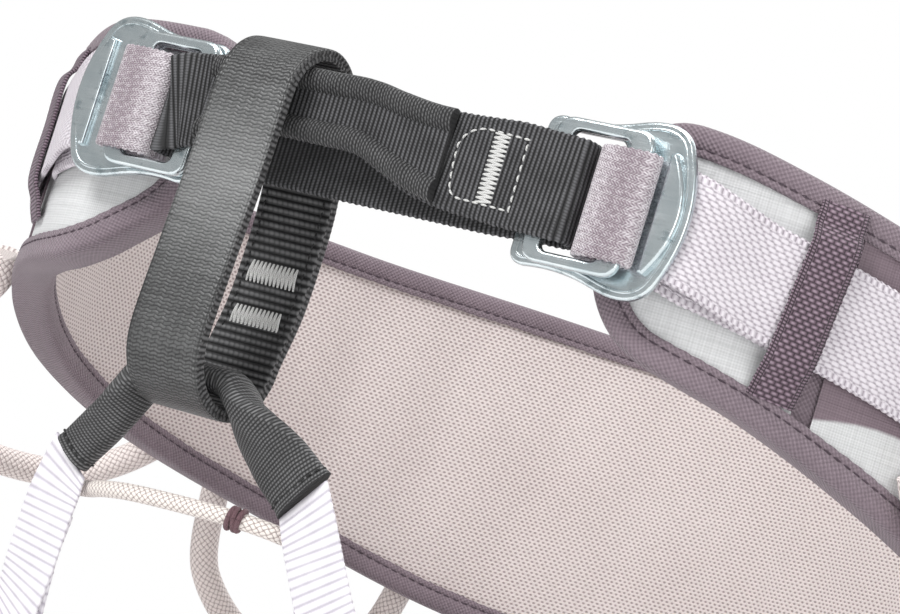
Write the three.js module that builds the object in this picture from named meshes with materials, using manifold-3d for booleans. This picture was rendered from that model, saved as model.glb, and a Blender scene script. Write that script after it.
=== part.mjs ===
// Climbing harness, adjustable, two waist buckles and two leg buckles.
// Units are millimetres. +Z up, +Y towards the wearer's back, +X towards the wearer's left.
// The origin is the centre of the waist opening.
import * as THREE from 'three';
import { mergeVertices } from 'three/addons/utils/BufferGeometryUtils.js';
import Module from 'manifold-3d';

const wasm = await Module();
wasm.setup();

// ---------- driving dimensions ----------
const WAIST_A = 128;          // half width of the belt's mid surface
const WAIST_B = 110;          // half depth of the belt's mid surface
const WAIST_CY = 3.5;         // centre of that oval along Y
const FRONT_FLAT = 0.834;     // the front of the belt is pulled flat at this share of the depth
const NOSE_R = 26.7;          // belt's right end, degrees from the front
const NOSE_L = 341.8;         // belt's left end, degrees
const WEB = 1.4;              // webbing thickness
const STRAP_W = 23;           // waist strap width
const TIE_W = 22;             // tie-in webbing width
const BINDING_W = 9;          // binding tape, width on the inner face
const BINDING_OUT_W = 6.6;    // binding tape, width on the waist belt's outer face
const LEG_CX = 84, LEG_CY = 8, LEG_RX = 70, LEG_RY = 94;   // leg loop oval
const BUCKLE_R = [42.2, -96.6, -2];     // inner edge of the right waist buckle, back face
const BUCKLE_L = [-40.0, -96.6, -1.6];  // inner edge of the left waist buckle, back face
const LEFT_SLIP = -5;         // left waist frame sits this much further in on its plate
const LEG_SCALE = 0.66;       // leg buckles against the waist buckles
const SLEEVE_T = 6.2;         // bridge sleeve, rolled thickness
const BELAY_X = -20.8, BELAY_W = 19, BELAY_T = 2.6;

const DEG = Math.PI / 180;
const V = (x, y, z) => new THREE.Vector3(x, y, z);
const lerp = (a, b, t) => a + (b - a) * t;

// ---------- colours ----------
const mauve = 0x77646f, lightWeb = 0xcfc6cd, darkWeb = 0x454547, belayGrey = 0x5a5a5b;
const ripstop = 0xc8c8c6, mesh = 0xd5c6c1, metal = 0xc3d0d3, foamGrey = 0x8d8a8b;
const cordWhite = 0xe6dad6, plasticGrey = 0x5b5458;
const fabric = (c, r = 0.85) => ({ color: c, roughness: r, metalness: 0 });
const alloy = { color: metal, roughness: 0.32, metalness: 0.85 };

const group = new THREE.Group();
group.name = 'climbing_harness';

function addPart(name, geometry, look) {
  geometry.computeVertexNormals();
  const m = new THREE.Mesh(geometry, new THREE.MeshStandardMaterial(look));
  m.name = name;
  group.add(m);
}

// ---------- solids ----------
function faceOut(g) {
  const p = g.attributes.position, ix = g.index.array;
  let vol = 0;
  const a = V(), b = V(), c = V();
  for (let i = 0; i < ix.length; i += 3) {
    a.fromBufferAttribute(p, ix[i]);
    b.fromBufferAttribute(p, ix[i + 1]);
    c.fromBufferAttribute(p, ix[i + 2]);
    vol += a.dot(b.cross(c));
  }
  if (vol < 0) {
    for (let i = 0; i < ix.length; i += 3) [ix[i + 1], ix[i + 2]] = [ix[i + 2], ix[i + 1]];
  }
  return g;
}

// Joins a row of equal rings into one closed body. flat gives each ring's 2-D outline for its cap.
function loft(rings, { closed = false, flat = null } = {}) {
  const k = rings[0].length, n = rings.length;
  const pos = [], idx = [];
  for (const r of rings) for (const q of r) pos.push(q.x, q.y, q.z);
  const last = closed ? n : n - 1;
  for (let i = 0; i < last; i++) {
    const j = (i + 1) % n;
    for (let a = 0; a < k; a++) {
      const b = (a + 1) % k;
      idx.push(i * k + a, i * k + b, j * k + b, i * k + a, j * k + b, j * k + a);
    }
  }
  if (!closed) {
    const outline = flat || rings[0].map((_, i) =>
      new THREE.Vector2(Math.cos(2 * Math.PI * i / k), Math.sin(2 * Math.PI * i / k)));
    for (const t of THREE.ShapeUtils.triangulateShape(outline, [])) {
      const flip = THREE.ShapeUtils.isClockWise(outline);
      const [a, b, c] = flip ? [t[0], t[2], t[1]] : t;
      idx.push(a, c, b, (n - 1) * k + a, (n - 1) * k + b, (n - 1) * k + c);
    }
  }
  const g = new THREE.BufferGeometry();
  g.setAttribute('position', new THREE.Float32BufferAttribute(pos, 3));
  g.setIndex(idx);
  return faceOut(g);
}

// Flat webbing along a dense path. dirs: width direction, one or per point. width: number or function(t).
// square turns the width direction square to the path, otherwise it is kept as given.
function ribbon(pts, dirs, width, thick, closed = false, square = false) {
  const n = pts.length, rings = [];
  for (let i = 0; i < n; i++) {
    const a = pts[closed ? (i + n - 1) % n : Math.max(i - 1, 0)];
    const b = pts[closed ? (i + 1) % n : Math.min(i + 1, n - 1)];
    const t = b.clone().sub(a).normalize();
    const w = (Array.isArray(dirs) ? dirs[i] : dirs).clone().normalize();
    if (square) w.addScaledVector(t, -w.dot(t)).normalize();
    else t.addScaledVector(w, -w.dot(t)).normalize();
    const m = t.clone().cross(w).normalize();
    const h = (typeof width === 'function' ? width(i / (n - 1)) : width) / 2;
    const th = thick / 2;
    const ring = [[-h, -th], [h, -th], [h, th], [-h, th]];
    rings.push(ring.map(([u, v]) => pts[i].clone().addScaledVector(w, u).addScaledVector(m, v)));
  }
  return loft(rings, { closed });
}

function smooth(points, n, closed = false) {
  const c = new THREE.CatmullRomCurve3(points, closed, 'centripetal');
  const out = c.getSpacedPoints(n);
  if (closed) out.pop();
  return out;
}

// Width directions spread along a smooth path from a few keys.
function spread(keys, n) {
  const out = [];
  for (let i = 0; i < n; i++) {
    const f = i / (n - 1) * (keys.length - 1), k = Math.min(Math.floor(f), keys.length - 2);
    out.push(keys[k].clone().lerp(keys[k + 1], f - k).normalize());
  }
  return out;
}

function tube(points, r, n, sides = 8) {
  const c = new THREE.CatmullRomCurve3(points, false, 'centripetal');
  const fr = c.computeFrenetFrames(n, false);
  const rings = [];
  for (let i = 0; i <= n; i++) {
    const p = c.getPointAt(i / n), ring = [];
    for (let a = 0; a < sides; a++) {
      const t = a / sides * 2 * Math.PI;
      ring.push(p.clone().addScaledVector(fr.normals[i], r * Math.cos(t))
        .addScaledVector(fr.binormals[i], r * Math.sin(t)));
    }
    rings.push(ring);
  }
  return loft(rings);
}

const toManifold = (g) => {
  const h = g.clone();
  h.deleteAttribute('normal');
  h.deleteAttribute('uv');
  const m = mergeVertices(h, 1e-4);
  return new wasm.Manifold(new wasm.Mesh({
    numProp: 3,
    vertProperties: new Float32Array(m.attributes.position.array),
    triVerts: new Uint32Array(m.index.array),
  }));
};
const fromManifold = (m) => {
  const o = m.getMesh(), g = new THREE.BufferGeometry();
  g.setAttribute('position', new THREE.Float32BufferAttribute(o.vertProperties, 3));
  g.setIndex(Array.from(o.triVerts));
  return faceOut(g);
};

// ---------- a band wrapped round an oval ----------
function makeBand(plan, from, to) {
  const step = 0.5, table = [];
  let s = 0, prev = plan(from);
  for (let a = from; a <= to + 1e-6; a += step) {
    const p = plan(a);
    s += Math.hypot(p[0] - prev[0], p[1] - prev[1]);
    table.push([a, s]);
    prev = p;
  }
  const length = s;
  const phiAt = (d) => {
    let i = 1;
    while (i < table.length - 1 && table[i][1] < d) i++;
    const [a0, s0] = table[i - 1], [a1, s1] = table[i];
    return lerp(a0, a1, (d - s0) / (s1 - s0 || 1));
  };
  const sOf = (phi) => {
    const i = Math.min(table.length - 2, Math.max(0, Math.floor((phi - from) / step)));
    return lerp(table[i][1], table[i + 1][1], (phi - table[i][0]) / step);
  };
  const at = (phi, z, n) => {
    const p = plan(phi), a = plan(phi - 0.3), b = plan(phi + 0.3);
    const tx = b[0] - a[0], ty = b[1] - a[1], l = Math.hypot(tx, ty);
    const side = (ty * (p[0] - plan.cx) - tx * (p[1] - plan.cy)) > 0 ? 1 : -1;
    return V(p[0] + side * ty / l * n, p[1] - side * tx / l * n, z);
  };
  const along = (phi) => at(phi + 0.3, 0, 0).sub(at(phi - 0.3, 0, 0)).normalize();
  return { from, to, length, phiAt, sOf, at, along };
}

// Heights of a band's edges at distance d, with rounded ends, pulled in by inset.
function edges(band, shape, d, inset) {
  const phi = band.phiAt(d);
  const pull = (e, rc) => {
    const r = rc - inset, x = Math.min(Math.max(e - inset, 0), r);
    return r - Math.sqrt(Math.max(r * r - (r - x) * (r - x), 0));
  };
  const cut = pull(d, shape.rc[0]) + pull(band.length - d, shape.rc[1]);
  return [shape.bot(phi) + inset + cut, shape.top(phi) - inset - cut];
}

// Distances along a band: its rounded ends, and a common grid between them.
function stations(s0, s1, step, r0, r1) {
  const out = [], arc = [0, 0.08, 0.3, 0.62, 1];
  for (const a of r0 ? arc : [0]) out.push(s0 + r0 * a);
  const lo = s0 + r0, hi = s1 - r1;
  for (let i = Math.ceil((lo + 0.15 * step) / step); i * step < hi - 0.15 * step; i++) out.push(i * step);
  for (const a of r1 ? [...arc].reverse() : [0]) out.push(s1 - r1 * a);
  return out;
}

// One layer of a band between two distances.
function layer(band, shape, s0, s1, nIn, nOut, inset, round = [true, true]) {
  const r = shape.rc.map((v, i) => (round[i] ? v - inset : 0));
  const rings = stations(s0, s1, shape.step, ...r).map((d) => {
    const phi = band.phiAt(d), [b, t] = edges(band, shape, d, inset);
    return [band.at(phi, b, nIn), band.at(phi, t, nIn), band.at(phi, t, nOut), band.at(phi, b, nOut)];
  });
  return loft(rings);
}

// Binding tape folded over the whole edge of a band.
function binding(band, shape, nIn, nOut, thick, width, outWidth = width) {
  const st = stations(0, band.length, shape.step, ...shape.rc);
  const outline = [];
  for (const d of st) outline.push([d, edges(band, shape, d, 0)[0]]);
  for (const d of [...st].reverse()) outline.push([d, edges(band, shape, d, 0)[1]]);
  const n = outline.length, rings = [];
  for (let i = 0; i < n; i++) {
    const a = outline[(i + n - 1) % n], b = outline[(i + 1) % n], p = outline[i];
    let tx = b[0] - a[0], tz = b[1] - a[1];
    const l = Math.hypot(tx, tz);
    tx /= l; tz /= l;
    const q = (k, m) => band.at(band.phiAt(Math.min(Math.max(p[0] - tz * k, 0.001), band.length - 0.001)),
      p[1] + tx * k, m);
    rings.push([q(0, nIn - thick), q(width, nIn - thick), q(width, nIn), q(thick, nIn),
      q(thick, nOut), q(outWidth, nOut), q(outWidth, nOut + thick), q(0, nOut + thick)]);
  }
  return loft(rings, { closed: true });
}

const stationed = (list) => (phi) => {
  let i = 1;
  while (i < list.length - 1 && list[i][0] < phi) i++;
  const [a, b] = [list[i - 1], list[i]];
  let t = Math.min(Math.max((phi - a[0]) / (b[0] - a[0]), 0), 1);
  const before = list[i - 2] || a, after = list[i + 1] || b;
  const ma = (b[1] - before[1]) / (b[0] - before[0]) * (b[0] - a[0]);
  const mb = (after[1] - a[1]) / (after[0] - a[0]) * (b[0] - a[0]);
  const t2 = t * t, t3 = t2 * t;
  return (2 * t3 - 3 * t2 + 1) * a[1] + (t3 - 2 * t2 + t) * ma + (3 * t2 - 2 * t3) * b[1] + (t3 - t2) * mb;
};

// ---------- waist belt ----------
const waistPlan = (phi) => {
  const c = Math.cos(phi * DEG), k = 40;
  const flat = -Math.log(Math.exp(-k * c) + Math.exp(-k * FRONT_FLAT)) / k;
  return [WAIST_A * Math.sin(phi * DEG), WAIST_CY - WAIST_B * flat];
};
waistPlan.cx = 0; waistPlan.cy = 0;
const waist = makeBand(waistPlan, NOSE_R, NOSE_L);
const waistShape = {
  rc: [13, 13], step: 8.5,
  top: stationed([[20, 19], [35, 18.5], [45, 15.4], [60, 9.6], [80, 3.4], [100, -1], [125, -2.2],
    [150, -2.6], [180, -5], [210, -2.6], [235, -2.2], [260, -1], [280, 3.4], [300, 9.6],
    [315, 15.4], [325, 18], [345, 18]]),
  bot: stationed([[20, -22], [27, -24.5], [34, -30], [45, -35.4], [60, -45], [80, -58], [100, -68.5],
    [125, -78.5], [150, -88], [180, -91], [210, -88], [235, -78.5], [260, -68.5], [280, -58],
    [295, -48.3], [306, -42], [316, -40], [323.5, -38.5], [329, -35], [333, -30], [338, -22.5], [344, -12]]),
};
const L = waist.length;
const SLOT = [43.2, 47.2];                       // gap where each strap leaves the belt, degrees
const slotS = SLOT.map((a) => waist.sOf(a));
const slotSL = SLOT.map((a) => waist.sOf(360 - a));
addPart('waist_mesh_lining', layer(waist, waistShape, 1.5, L - 1.5, -4.0, -3.1, 1.5), fabric(mesh));
addPart('waist_foam', layer(waist, waistShape, 1.9, L - 1.9, -2.8, 0.6, 1.9), fabric(foamGrey, 0.95));
addPart('waist_shell', layer(waist, waistShape, slotS[1], slotSL[1], 2.7, 3.6, 1.5, [false, false]),
  fabric(mauve));
addPart('nose_panel_right', layer(waist, waistShape, 1.5, slotS[0], 2.7, 3.6, 1.5, [true, false]),
  fabric(ripstop, 0.6));
addPart('nose_panel_left', layer(waist, waistShape, slotSL[0], L - 1.5, 2.7, 3.6, 1.5, [false, true]),
  fabric(ripstop, 0.6));
addPart('waist_binding', binding(waist, waistShape, -4.4, 4.0, 0.8, BINDING_W, BINDING_OUT_W), fabric(mauve));

// ---------- buckles ----------
// Local axes of a buckle: x from its inner edge outwards, y out of its face, z up along its bars.
function place(origin, xAxis, up, scale, mirror) {
  const X = xAxis.clone().normalize();
  const Z = up.clone().addScaledVector(X, -up.dot(X)).normalize();
  const Y = X.clone().cross(Z);
  const m = mirror ? -1 : 1;
  return (x, y, z) => {
    const p = V(...origin).addScaledVector(X, x * scale).addScaledVector(Y, y * scale)
      .addScaledVector(Z, z * scale);
    return m < 0 ? V(-p.x, p.y, p.z) : p;
  };
}

function moveGeometry(g, at) {
  const m = g.index ? g : mergeVertices(g);
  const p = m.attributes.position;
  for (let i = 0; i < p.count; i++) {
    const q = at(p.getX(i), p.getZ(i), p.getY(i));
    p.setXYZ(i, q.x, q.y, q.z);
  }
  return faceOut(m);
}

function roundedRect(target, x0, x1, h, r) {
  target.moveTo(x0 + r, -h);
  target.lineTo(x1 - r, -h);
  target.quadraticCurveTo(x1, -h, x1, -h + r);
  target.lineTo(x1, h - r);
  target.quadraticCurveTo(x1, h, x1 - r, h);
  target.lineTo(x0 + r, h);
  target.quadraticCurveTo(x0, h, x0, h - r);
  target.lineTo(x0, -h + r);
  target.quadraticCurveTo(x0, -h, x0 + r, -h);
  return target;
}

function extrude(shape, y0, y1, bevel, seg) {
  const g = new THREE.ExtrudeGeometry(shape, {
    depth: y1 - y0 - 2 * bevel, bevelEnabled: bevel > 0, bevelThickness: bevel, bevelSize: bevel,
    bevelOffset: -bevel, bevelSegments: 1, curveSegments: seg,
  });
  g.translate(0, 0, y0 + bevel);
  g.deleteAttribute('normal');
  g.deleteAttribute('uv');
  return mergeVertices(g, 1e-4);
}

function plateGeometry(seg) {
  const s = new THREE.Shape();
  s.moveTo(0, -12.5);
  s.quadraticCurveTo(0, -15.8, 3.5, -15.8);
  s.quadraticCurveTo(12, -14.8, 20, -17.2);
  s.quadraticCurveTo(31.2, -20.6, 34, -13.5);
  s.quadraticCurveTo(40, 0, 34, 13.5);
  s.quadraticCurveTo(31.2, 20.6, 20, 17.2);
  s.quadraticCurveTo(12, 14.8, 3.5, 15.8);
  s.quadraticCurveTo(0, 15.8, 0, 12.5);
  s.closePath();
  s.holes.push(roundedRect(new THREE.Path(), 4.3, 19, 13, 1.4));
  const lip = new THREE.Shape();
  lip.moveTo(29.7, -12.6);
  lip.lineTo(31.4, -12.9);
  lip.quadraticCurveTo(40.6, 0, 31.4, 12.9);
  lip.lineTo(29.7, 12.6);
  lip.closePath();
  const plate = toManifold(extrude(s, 0, 1.8, 0.35, seg));
  return fromManifold(plate.add(toManifold(extrude(lip, 1.2, 3.4, 0.4, seg))));
}

function frameGeometry(seg, slip) {
  const s = roundedRect(new THREE.Shape(), 4.5, 27, 15.2, 4);
  s.holes.push(roundedRect(new THREE.Path(), 8.5, 22, 12.6, 1.2));
  const g = extrude(s, 3.8, 5.8, 0.45, seg);
  g.translate(slip, 0, 0);
  return g;
}

function arc(cx, cy, r, a0, a1, n) {
  const out = [];
  for (let i = 0; i <= n; i++) {
    const a = lerp(a0, a1, i / n) * DEG;
    out.push([cx + r * Math.cos(a), cy + r * Math.sin(a)]);
  }
  return out;
}
// Strap inside a buckle, in the buckle's x-y plane: up through both windows, round the outer bar
// of the frame, back down and out under the plate.
// slip moves the frame, and the strap round it, along x against the plate.
const strapUp = (slip) => [[24, -2.75], ...[[18.6, -2.75], [16.6, -2.2], [15.5, -0.6], [15.3, 1.7]]
  .map(([x, y]) => [x + slip, y])];
const strapTurn = (slip) => [[15.4, 2.2], [15.9, 4.2], [17.2, 5.9], [19.6, 6.9], [23, 7.2], [26.0, 6.9],
  ...arc(26.6, 4.8, 2, 75, -90, 6), [20.8, 2.8], [19.2, 2.5]].map(([x, y]) => [x + slip, y]);
const strapDown = (slip) => [...[[17.9, 1.7], [17.75, 0.7], [18.1, -0.4], [19.6, -1.0]]
  .map(([x, y]) => [x + slip, y]), [30, -1.0]];
// dark webbing round both inner bars
const webTurn = (slip) => [[12.2, 6.8], [13, 6.4], [13.4, 5.4], [13.4, 2.4], [12.4, 0.3], [10.2, -0.8], [4, -1]]
  .map(([x, y]) => [x + slip, y]);

function buckle(prefix, at, seg, slip = 0) {
  addPart(`${prefix}_plate`, moveGeometry(plateGeometry(seg), at), alloy);
  addPart(`${prefix}_frame`, moveGeometry(frameGeometry(seg, slip), at), alloy);
}
const right = place(BUCKLE_R, V(1, 0, 0), V(0, 0, 1), 1, false);
const left = place([-BUCKLE_L[0], BUCKLE_L[1], BUCKLE_L[2]], V(1, 0, 0), V(0, 0, 1), 1, true);
buckle('waist_buckle_right', right, 5);
buckle('waist_buckle_left', left, 5, LEFT_SLIP);

// ---------- waist straps, keepers ----------
function beltPoint(side, phi, z, n) {
  return waist.at(side > 0 ? phi : 360 - phi, z, n);
}
const strapMid = stationed([[30, -4.0], [36, -5.8], [46, -9.2], [57, -13], [80, -24]]);
for (const [name, at, side, slip] of [['right', right, 1, 0], ['left', left, -1, LEFT_SLIP]]) {
  const up = V(0, 0, 1);
  const local = (list) => list.map(([x, y]) => at(x, y, -0.6));
  const onBelt = (list) => list.map(([phi, n]) => beltPoint(side, phi, strapMid(phi), n));
  const load = [...onBelt([[58, 1.65], [53, 1.65], [49, 1.65], [47.3, 1.65], [45.9, 2.4], [44.5, 3.9], [43.2, 4.75],
    [41, 4.9], [38.5, 5.1], [35.6, 5.6]]), ...local(strapUp(slip))];
  addPart(`waist_strap_${name}`, ribbon(load, up, STRAP_W, WEB), fabric(lightWeb));
  addPart(`waist_strap_turn_${name}`, ribbon(local(strapTurn(slip)), up, STRAP_W, WEB), fabric(lightWeb));
  const tail = [...local(strapDown(slip)), at(36.8, -1.4, -1.6),
    ...onBelt([[42.6, 7.2], [45, 6.5], [48, 6.0], [52, 5.6], [58, 5.4], [65, 5.4], [73, 5.4], [80, 5.4]])];
  addPart(`waist_strap_tail_${name}`, ribbon(tail, up, STRAP_W, WEB), fabric(lightWeb));
  const keeperPhi = (z) => 47.9 + z * 0.044;
  const rows = [[5.3, 10.6], [5.7, 6.6], [7.8, 3.8], [7.9, -8], [7.8, -21.6], [5.8, -25.5], [5.3, -28.6]];
  const keep = rows.map(([n, z]) => beltPoint(side, keeperPhi(z), z, n));
  addPart(`waist_keeper_${name}`, ribbon(keep, waist.along(side > 0 ? 47.5 : 312.5), 10.5, 0.9), fabric(mauve));
}

// ---------- tie-in webbing and its wear guard ----------
const FRONT_Y = BUCKLE_R[1] - 6.8, BACK_Y = BUCKLE_R[1] + 1.0;
const tie = [];
const tieMid = [], tieWide = [];
const pushTie = (p, mid, wide) => { tie.push(V(p.x, p.y, mid)); tieMid.push(mid); tieWide.push(wide); };
for (const [x, mid, wide] of [[-44, -0.4, 21.4], [-36, 1.2, 20], [-30, 3.4, 16.4], [-20, 4, 15.4], [-8, 4, 15.4],
  [4, 3.8, 15.6], [12, 1.8, 17.2], [20, -0.2, 19.4], [28, -1, 20.6], [40, -1.2, TIE_W]]) {
  pushTie(V(x, FRONT_Y, 0), mid, wide);
}
for (const [x, y] of webTurn(0)) pushTie(right(x, y, 0), -1.8, 21.4);
for (const x of [34, 20, 6, -6, -20, -32]) pushTie(V(x, BACK_Y, 0), -2, TIE_W);
for (const [x, y] of webTurn(LEFT_SLIP).reverse()) pushTie(left(x, y, 0), -1.6, 21.4);
{
  const n = tie.length, rings = [];
  for (let i = 0; i < n; i++) {
    const a = tie[(i + n - 1) % n], b = tie[(i + 1) % n];
    const t = V(b.x - a.x, b.y - a.y, 0).normalize(), m = V(t.y, -t.x, 0), h = tieWide[i] / 2;
    rings.push([[-h, -0.7], [h, -0.7], [h, 0.7], [-h, 0.7]].map(([u, v]) =>
      tie[i].clone().add(V(0, 0, u)).addScaledVector(m, v)));
  }
  addPart('tie_in_webbing', loft(rings, { closed: true }), fabric(darkWeb));
}
{
  const y = FRONT_Y - 1.0;
  const rings = [];
  const profile = (mid, h) => [[0, h], [-2.1, h], [-2.1, h - 4], [-1.1, h - 4.6], [-1.1, -h + 4.6],
    [-2.1, -h + 4], [-2.1, -h], [0, -h]].map(([a, b]) => new THREE.Vector2(a, mid + b));
  const rows = [[-37, 1.2, 9.2], [-30, 3.6, 7.8], [-20, 4, 7.7], [-6, 4, 7.7], [4, 3.8, 7.8], [12, 1.8, 8.6],
    [20, 0, 9.4], [25, -0.6, 9.8]];
  for (const [x, mid, h] of rows) rings.push(profile(mid, h).map((q) => V(x, y + q.x, q.y)));
  addPart('wear_guard', loft(rings, { flat: profile(4, 8) }), fabric(darkWeb));
}

// ---------- belay loop ----------
{
  const ring = [];
  const c1 = [-99.9, 4], r1 = 10.5 + BELAY_T / 2, c2 = [-100.3, -49.3], r2 = 12.5 + BELAY_T / 2;
  for (const [y, z] of arc(...c1, r1, 0, 180, 9)) ring.push([y, z]);
  ring.push([-112.2, -12], [-113.2, -30]);
  for (const [y, z] of arc(...c2, r2, 180, 360, 10)) ring.push([y, z]);
  ring.push([-86.2, -38], [-86, -27], [-86.4, -15], [-87.3, -5]);
  addPart('belay_loop', ribbon(ring.map(([y, z]) => V(BELAY_X, y, z)), V(1, 0, 0), BELAY_W, BELAY_T, true),
    fabric(belayGrey, 0.55));
}

// ---------- leg bridge: folded sleeve, cord ----------
{
  const rows = [[-47, -98.5, -79.4, -0.8, 0, 0.6], [-43.5, -98.6, -74.6, -0.78, -0.15, 0.6],
    [-39.5, -99.1, -69.2, -0.66, -0.5, 0.5], [-36, -99.6, -63.6, -0.4, -0.85, 0.3],
    [-33, -100, -58.5, -0.05, -1, 0.05], [-30.7, -100.2, -56.5, 0, -1, 0], [-26, -100.3, -56.4, 0, -1, 0],
    [-20.8, -100.3, -56.3, 0, -1, 0], [-15, -100.3, -56.4, 0, -1, 0], [-11, -100.3, -56.7, 0, -1, 0],
    [-8.2, -100.2, -58.6, 0.08, -1, 0.06],
    [-4, -99.9, -62.9, 0.35, -0.8, 0.4], [1, -99.3, -66.6, 0.5, -0.5, 0.62], [6, -98.9, -70.2, 0.58, -0.2, 0.7],
    [12.6, -98.5, -74.8, 0.62, 0, 0.78]];
  const wide = (t) => lerp(9.6, 13.6, Math.min(1, Math.max(0, (t - 0.6) / 0.35)));
  addPart('bridge_sleeve', ribbon(rows.map((r) => V(r[0], r[1], r[2])), rows.map((r) => V(r[3], r[4], r[5])),
    wide, SLEEVE_T, false, true), fabric(darkWeb));
  const cord = [V(-50, -93.9, -86.2), V(-43.5, -94.2, -85.6), V(-37, -98.2, -84.8), V(-28, -101.6, -83.9),
    V(-14, -102.2, -83.2), V(-1, -101.2, -82.9), V(5.5, -98, -83.1), V(10, -94.6, -83.6), V(13.5, -93.9, -84.2)];
  addPart('bridge_cord', tube(cord, 1.9, 22, 6), fabric(cordWhite));
}

// ---------- leg loops ----------
const legMidZ = (psi) => -160 + 24 * Math.cos((psi + 20) * DEG);
const legHalf = stationed([[-4, 15], [20, 18], [60, 27], [110, 31], [200, 31], [250, 24], [290, 17], [312, 14]]);
const legShape = {
  rc: [9, 9], step: 11,
  top: (psi) => legMidZ(psi) + legHalf(psi),
  bot: (psi) => legMidZ(psi) - legHalf(psi),
};
for (const [name, m] of [['right', 1], ['left', -1]]) {
  const plan = (psi) => [m * (LEG_CX + LEG_RX * Math.sin(psi * DEG)), LEG_CY - LEG_RY * Math.cos(psi * DEG)];
  plan.cx = m * LEG_CX; plan.cy = LEG_CY;
  const leg = makeBand(plan, -1, 310);
  const n = leg.length;
  addPart(`leg_foam_${name}`, layer(leg, legShape, 1.6, n - 1.6, -3.6, 2.4, 1.6), fabric(mesh, 0.95));
  addPart(`leg_shell_${name}`, layer(leg, legShape, 1.2, n - 1.2, 2.7, 3.6, 1.2), fabric(mauve));
  addPart(`leg_binding_${name}`, binding(leg, legShape, -3.9, 3.9, 0.8, 7), fabric(mauve));
  const o = [60.6, -93.6, -137];
  const at = place(o, V(0.98, -0.03, -0.16), V(0, 0, 1), LEG_SCALE, m < 0);
  buckle(`leg_buckle_${name}`, at, 3);
  const up = at(0, 0, 1).sub(at(0, 0, 0)).normalize();
  const w = STRAP_W * LEG_SCALE, th = WEB * LEG_SCALE;
  const local = (list) => list.map(([x, y]) => at(x, y, 0));
  const legAt = (psi, k, dz = 0) => leg.at(psi, legMidZ(psi) + dz, k);
  const load = [...[[42, 4.9], [36, 4.9], [30, 4.9], [24, 5.0], [18, 5.3], [12, 5.7], [6, 6.0]]
    .map(([psi, k]) => legAt(psi, k)), ...local(strapUp(0))];
  const zUp = V(0, 0, 1);
  const loadDirs = load.map((_, i) => (i < 7 ? zUp : up));
  addPart(`leg_strap_${name}`, ribbon(load, loadDirs, w, th), fabric(lightWeb));
  addPart(`leg_strap_turn_${name}`, ribbon(local(strapTurn(0)), up, w, th), fabric(lightWeb));
  const tail = [...local(strapDown(0)), at(36.8, -1.1, 0), ...[[6, 8.0], [11, 7.6], [17, 7.2], [23, 6.8],
    [29, 6.6], [35, 6.5], [41, 6.5], [48, 6.4], [56, 6.3]].map(([psi, k]) => legAt(psi, k))];
  const tailDirs = tail.map((_, i) => (i > 5 ? zUp : up));
  addPart(`leg_strap_tail_${name}`, ribbon(tail, tailDirs, w, th), fabric(lightWeb));
  const hug = [[4.9, 11.4], [5.6, 9.6], [7.9, 8.2], [7.9, -8.2], [5.6, -9.6], [4.9, -11.4]]
    .map(([k, dz]) => legAt(31, k, dz));
  addPart(`leg_keeper_${name}`, ribbon(hug, leg.along(31), 8, 0.9), fabric(mauve));
  // webbing from the bridge to the buckle's inner bars and back on itself
  const first = m > 0 ? [V(13, -98.5, -75.15), V(19.2, -98.4, -85.2), V(25.5, -98.2, -95), V(37, -97.6, -111),
    V(49, -97.2, -125)] : [V(-47.35, -98.5, -79.9), V(-48.8, -98.4, -90), V(-49.2, -98.3, -103),
    V(-50.4, -97.8, -117), V(-54, -97.6, -128)];
  const run = smooth([...first, at(-2, 6.6, 0), at(6, 6.8, 0)], 16);
  const dive = webTurn(0).map(([x, y]) => at(x, y, 0));
  const back = [at(-4, -1.2, 0), at(-12, -1.6, 0.6)];
  const dirKeys = m > 0 ? [V(0.62, 0, 0.78), V(0.85, 0, 0.53), V(0.8, 0, 0.6), V(0.62, 0, 0.78), up, up]
    : [V(-0.8, 0, 0.6), V(-0.98, 0, 0.1), V(-0.98, 0, 0.15), V(-0.8, 0, 0.6), V(-0.35, 0, 0.93), up];
  const dirs = [...spread(dirKeys, 17), ...Array(dive.length + back.length).fill(up)];
  addPart(`leg_web_${name}`, ribbon([...run, ...dive, ...back], dirs, 13.4, th), fabric(lightWeb));
  const base = [legAt(295, 5.7), legAt(302, 5.8), legAt(308.5, 6)];
  const top = m > 0 ? [V(28, -72, -127), V(24.5, -88, -108), V(20.8, -96.8, -89.5), V(18.2, -97.2, -85)]
    : [V(-41, -74, -133), V(-50, -90, -117), V(-50.6, -95.4, -103), V(-48.8, -96.9, -90)];
  const innerDirs = spread([V(0, 0, 1), V(0, 0, 1), V(m * 0.6, 0, 0.8), V(m * 0.95, 0, 0.3),
    V(m * 0.9, 0, 0.4)], 19);
  addPart(`leg_inner_strap_${name}`, ribbon(smooth([...base, ...top], 18), innerDirs, 12.6, th),
    fabric(lightWeb));
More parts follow.
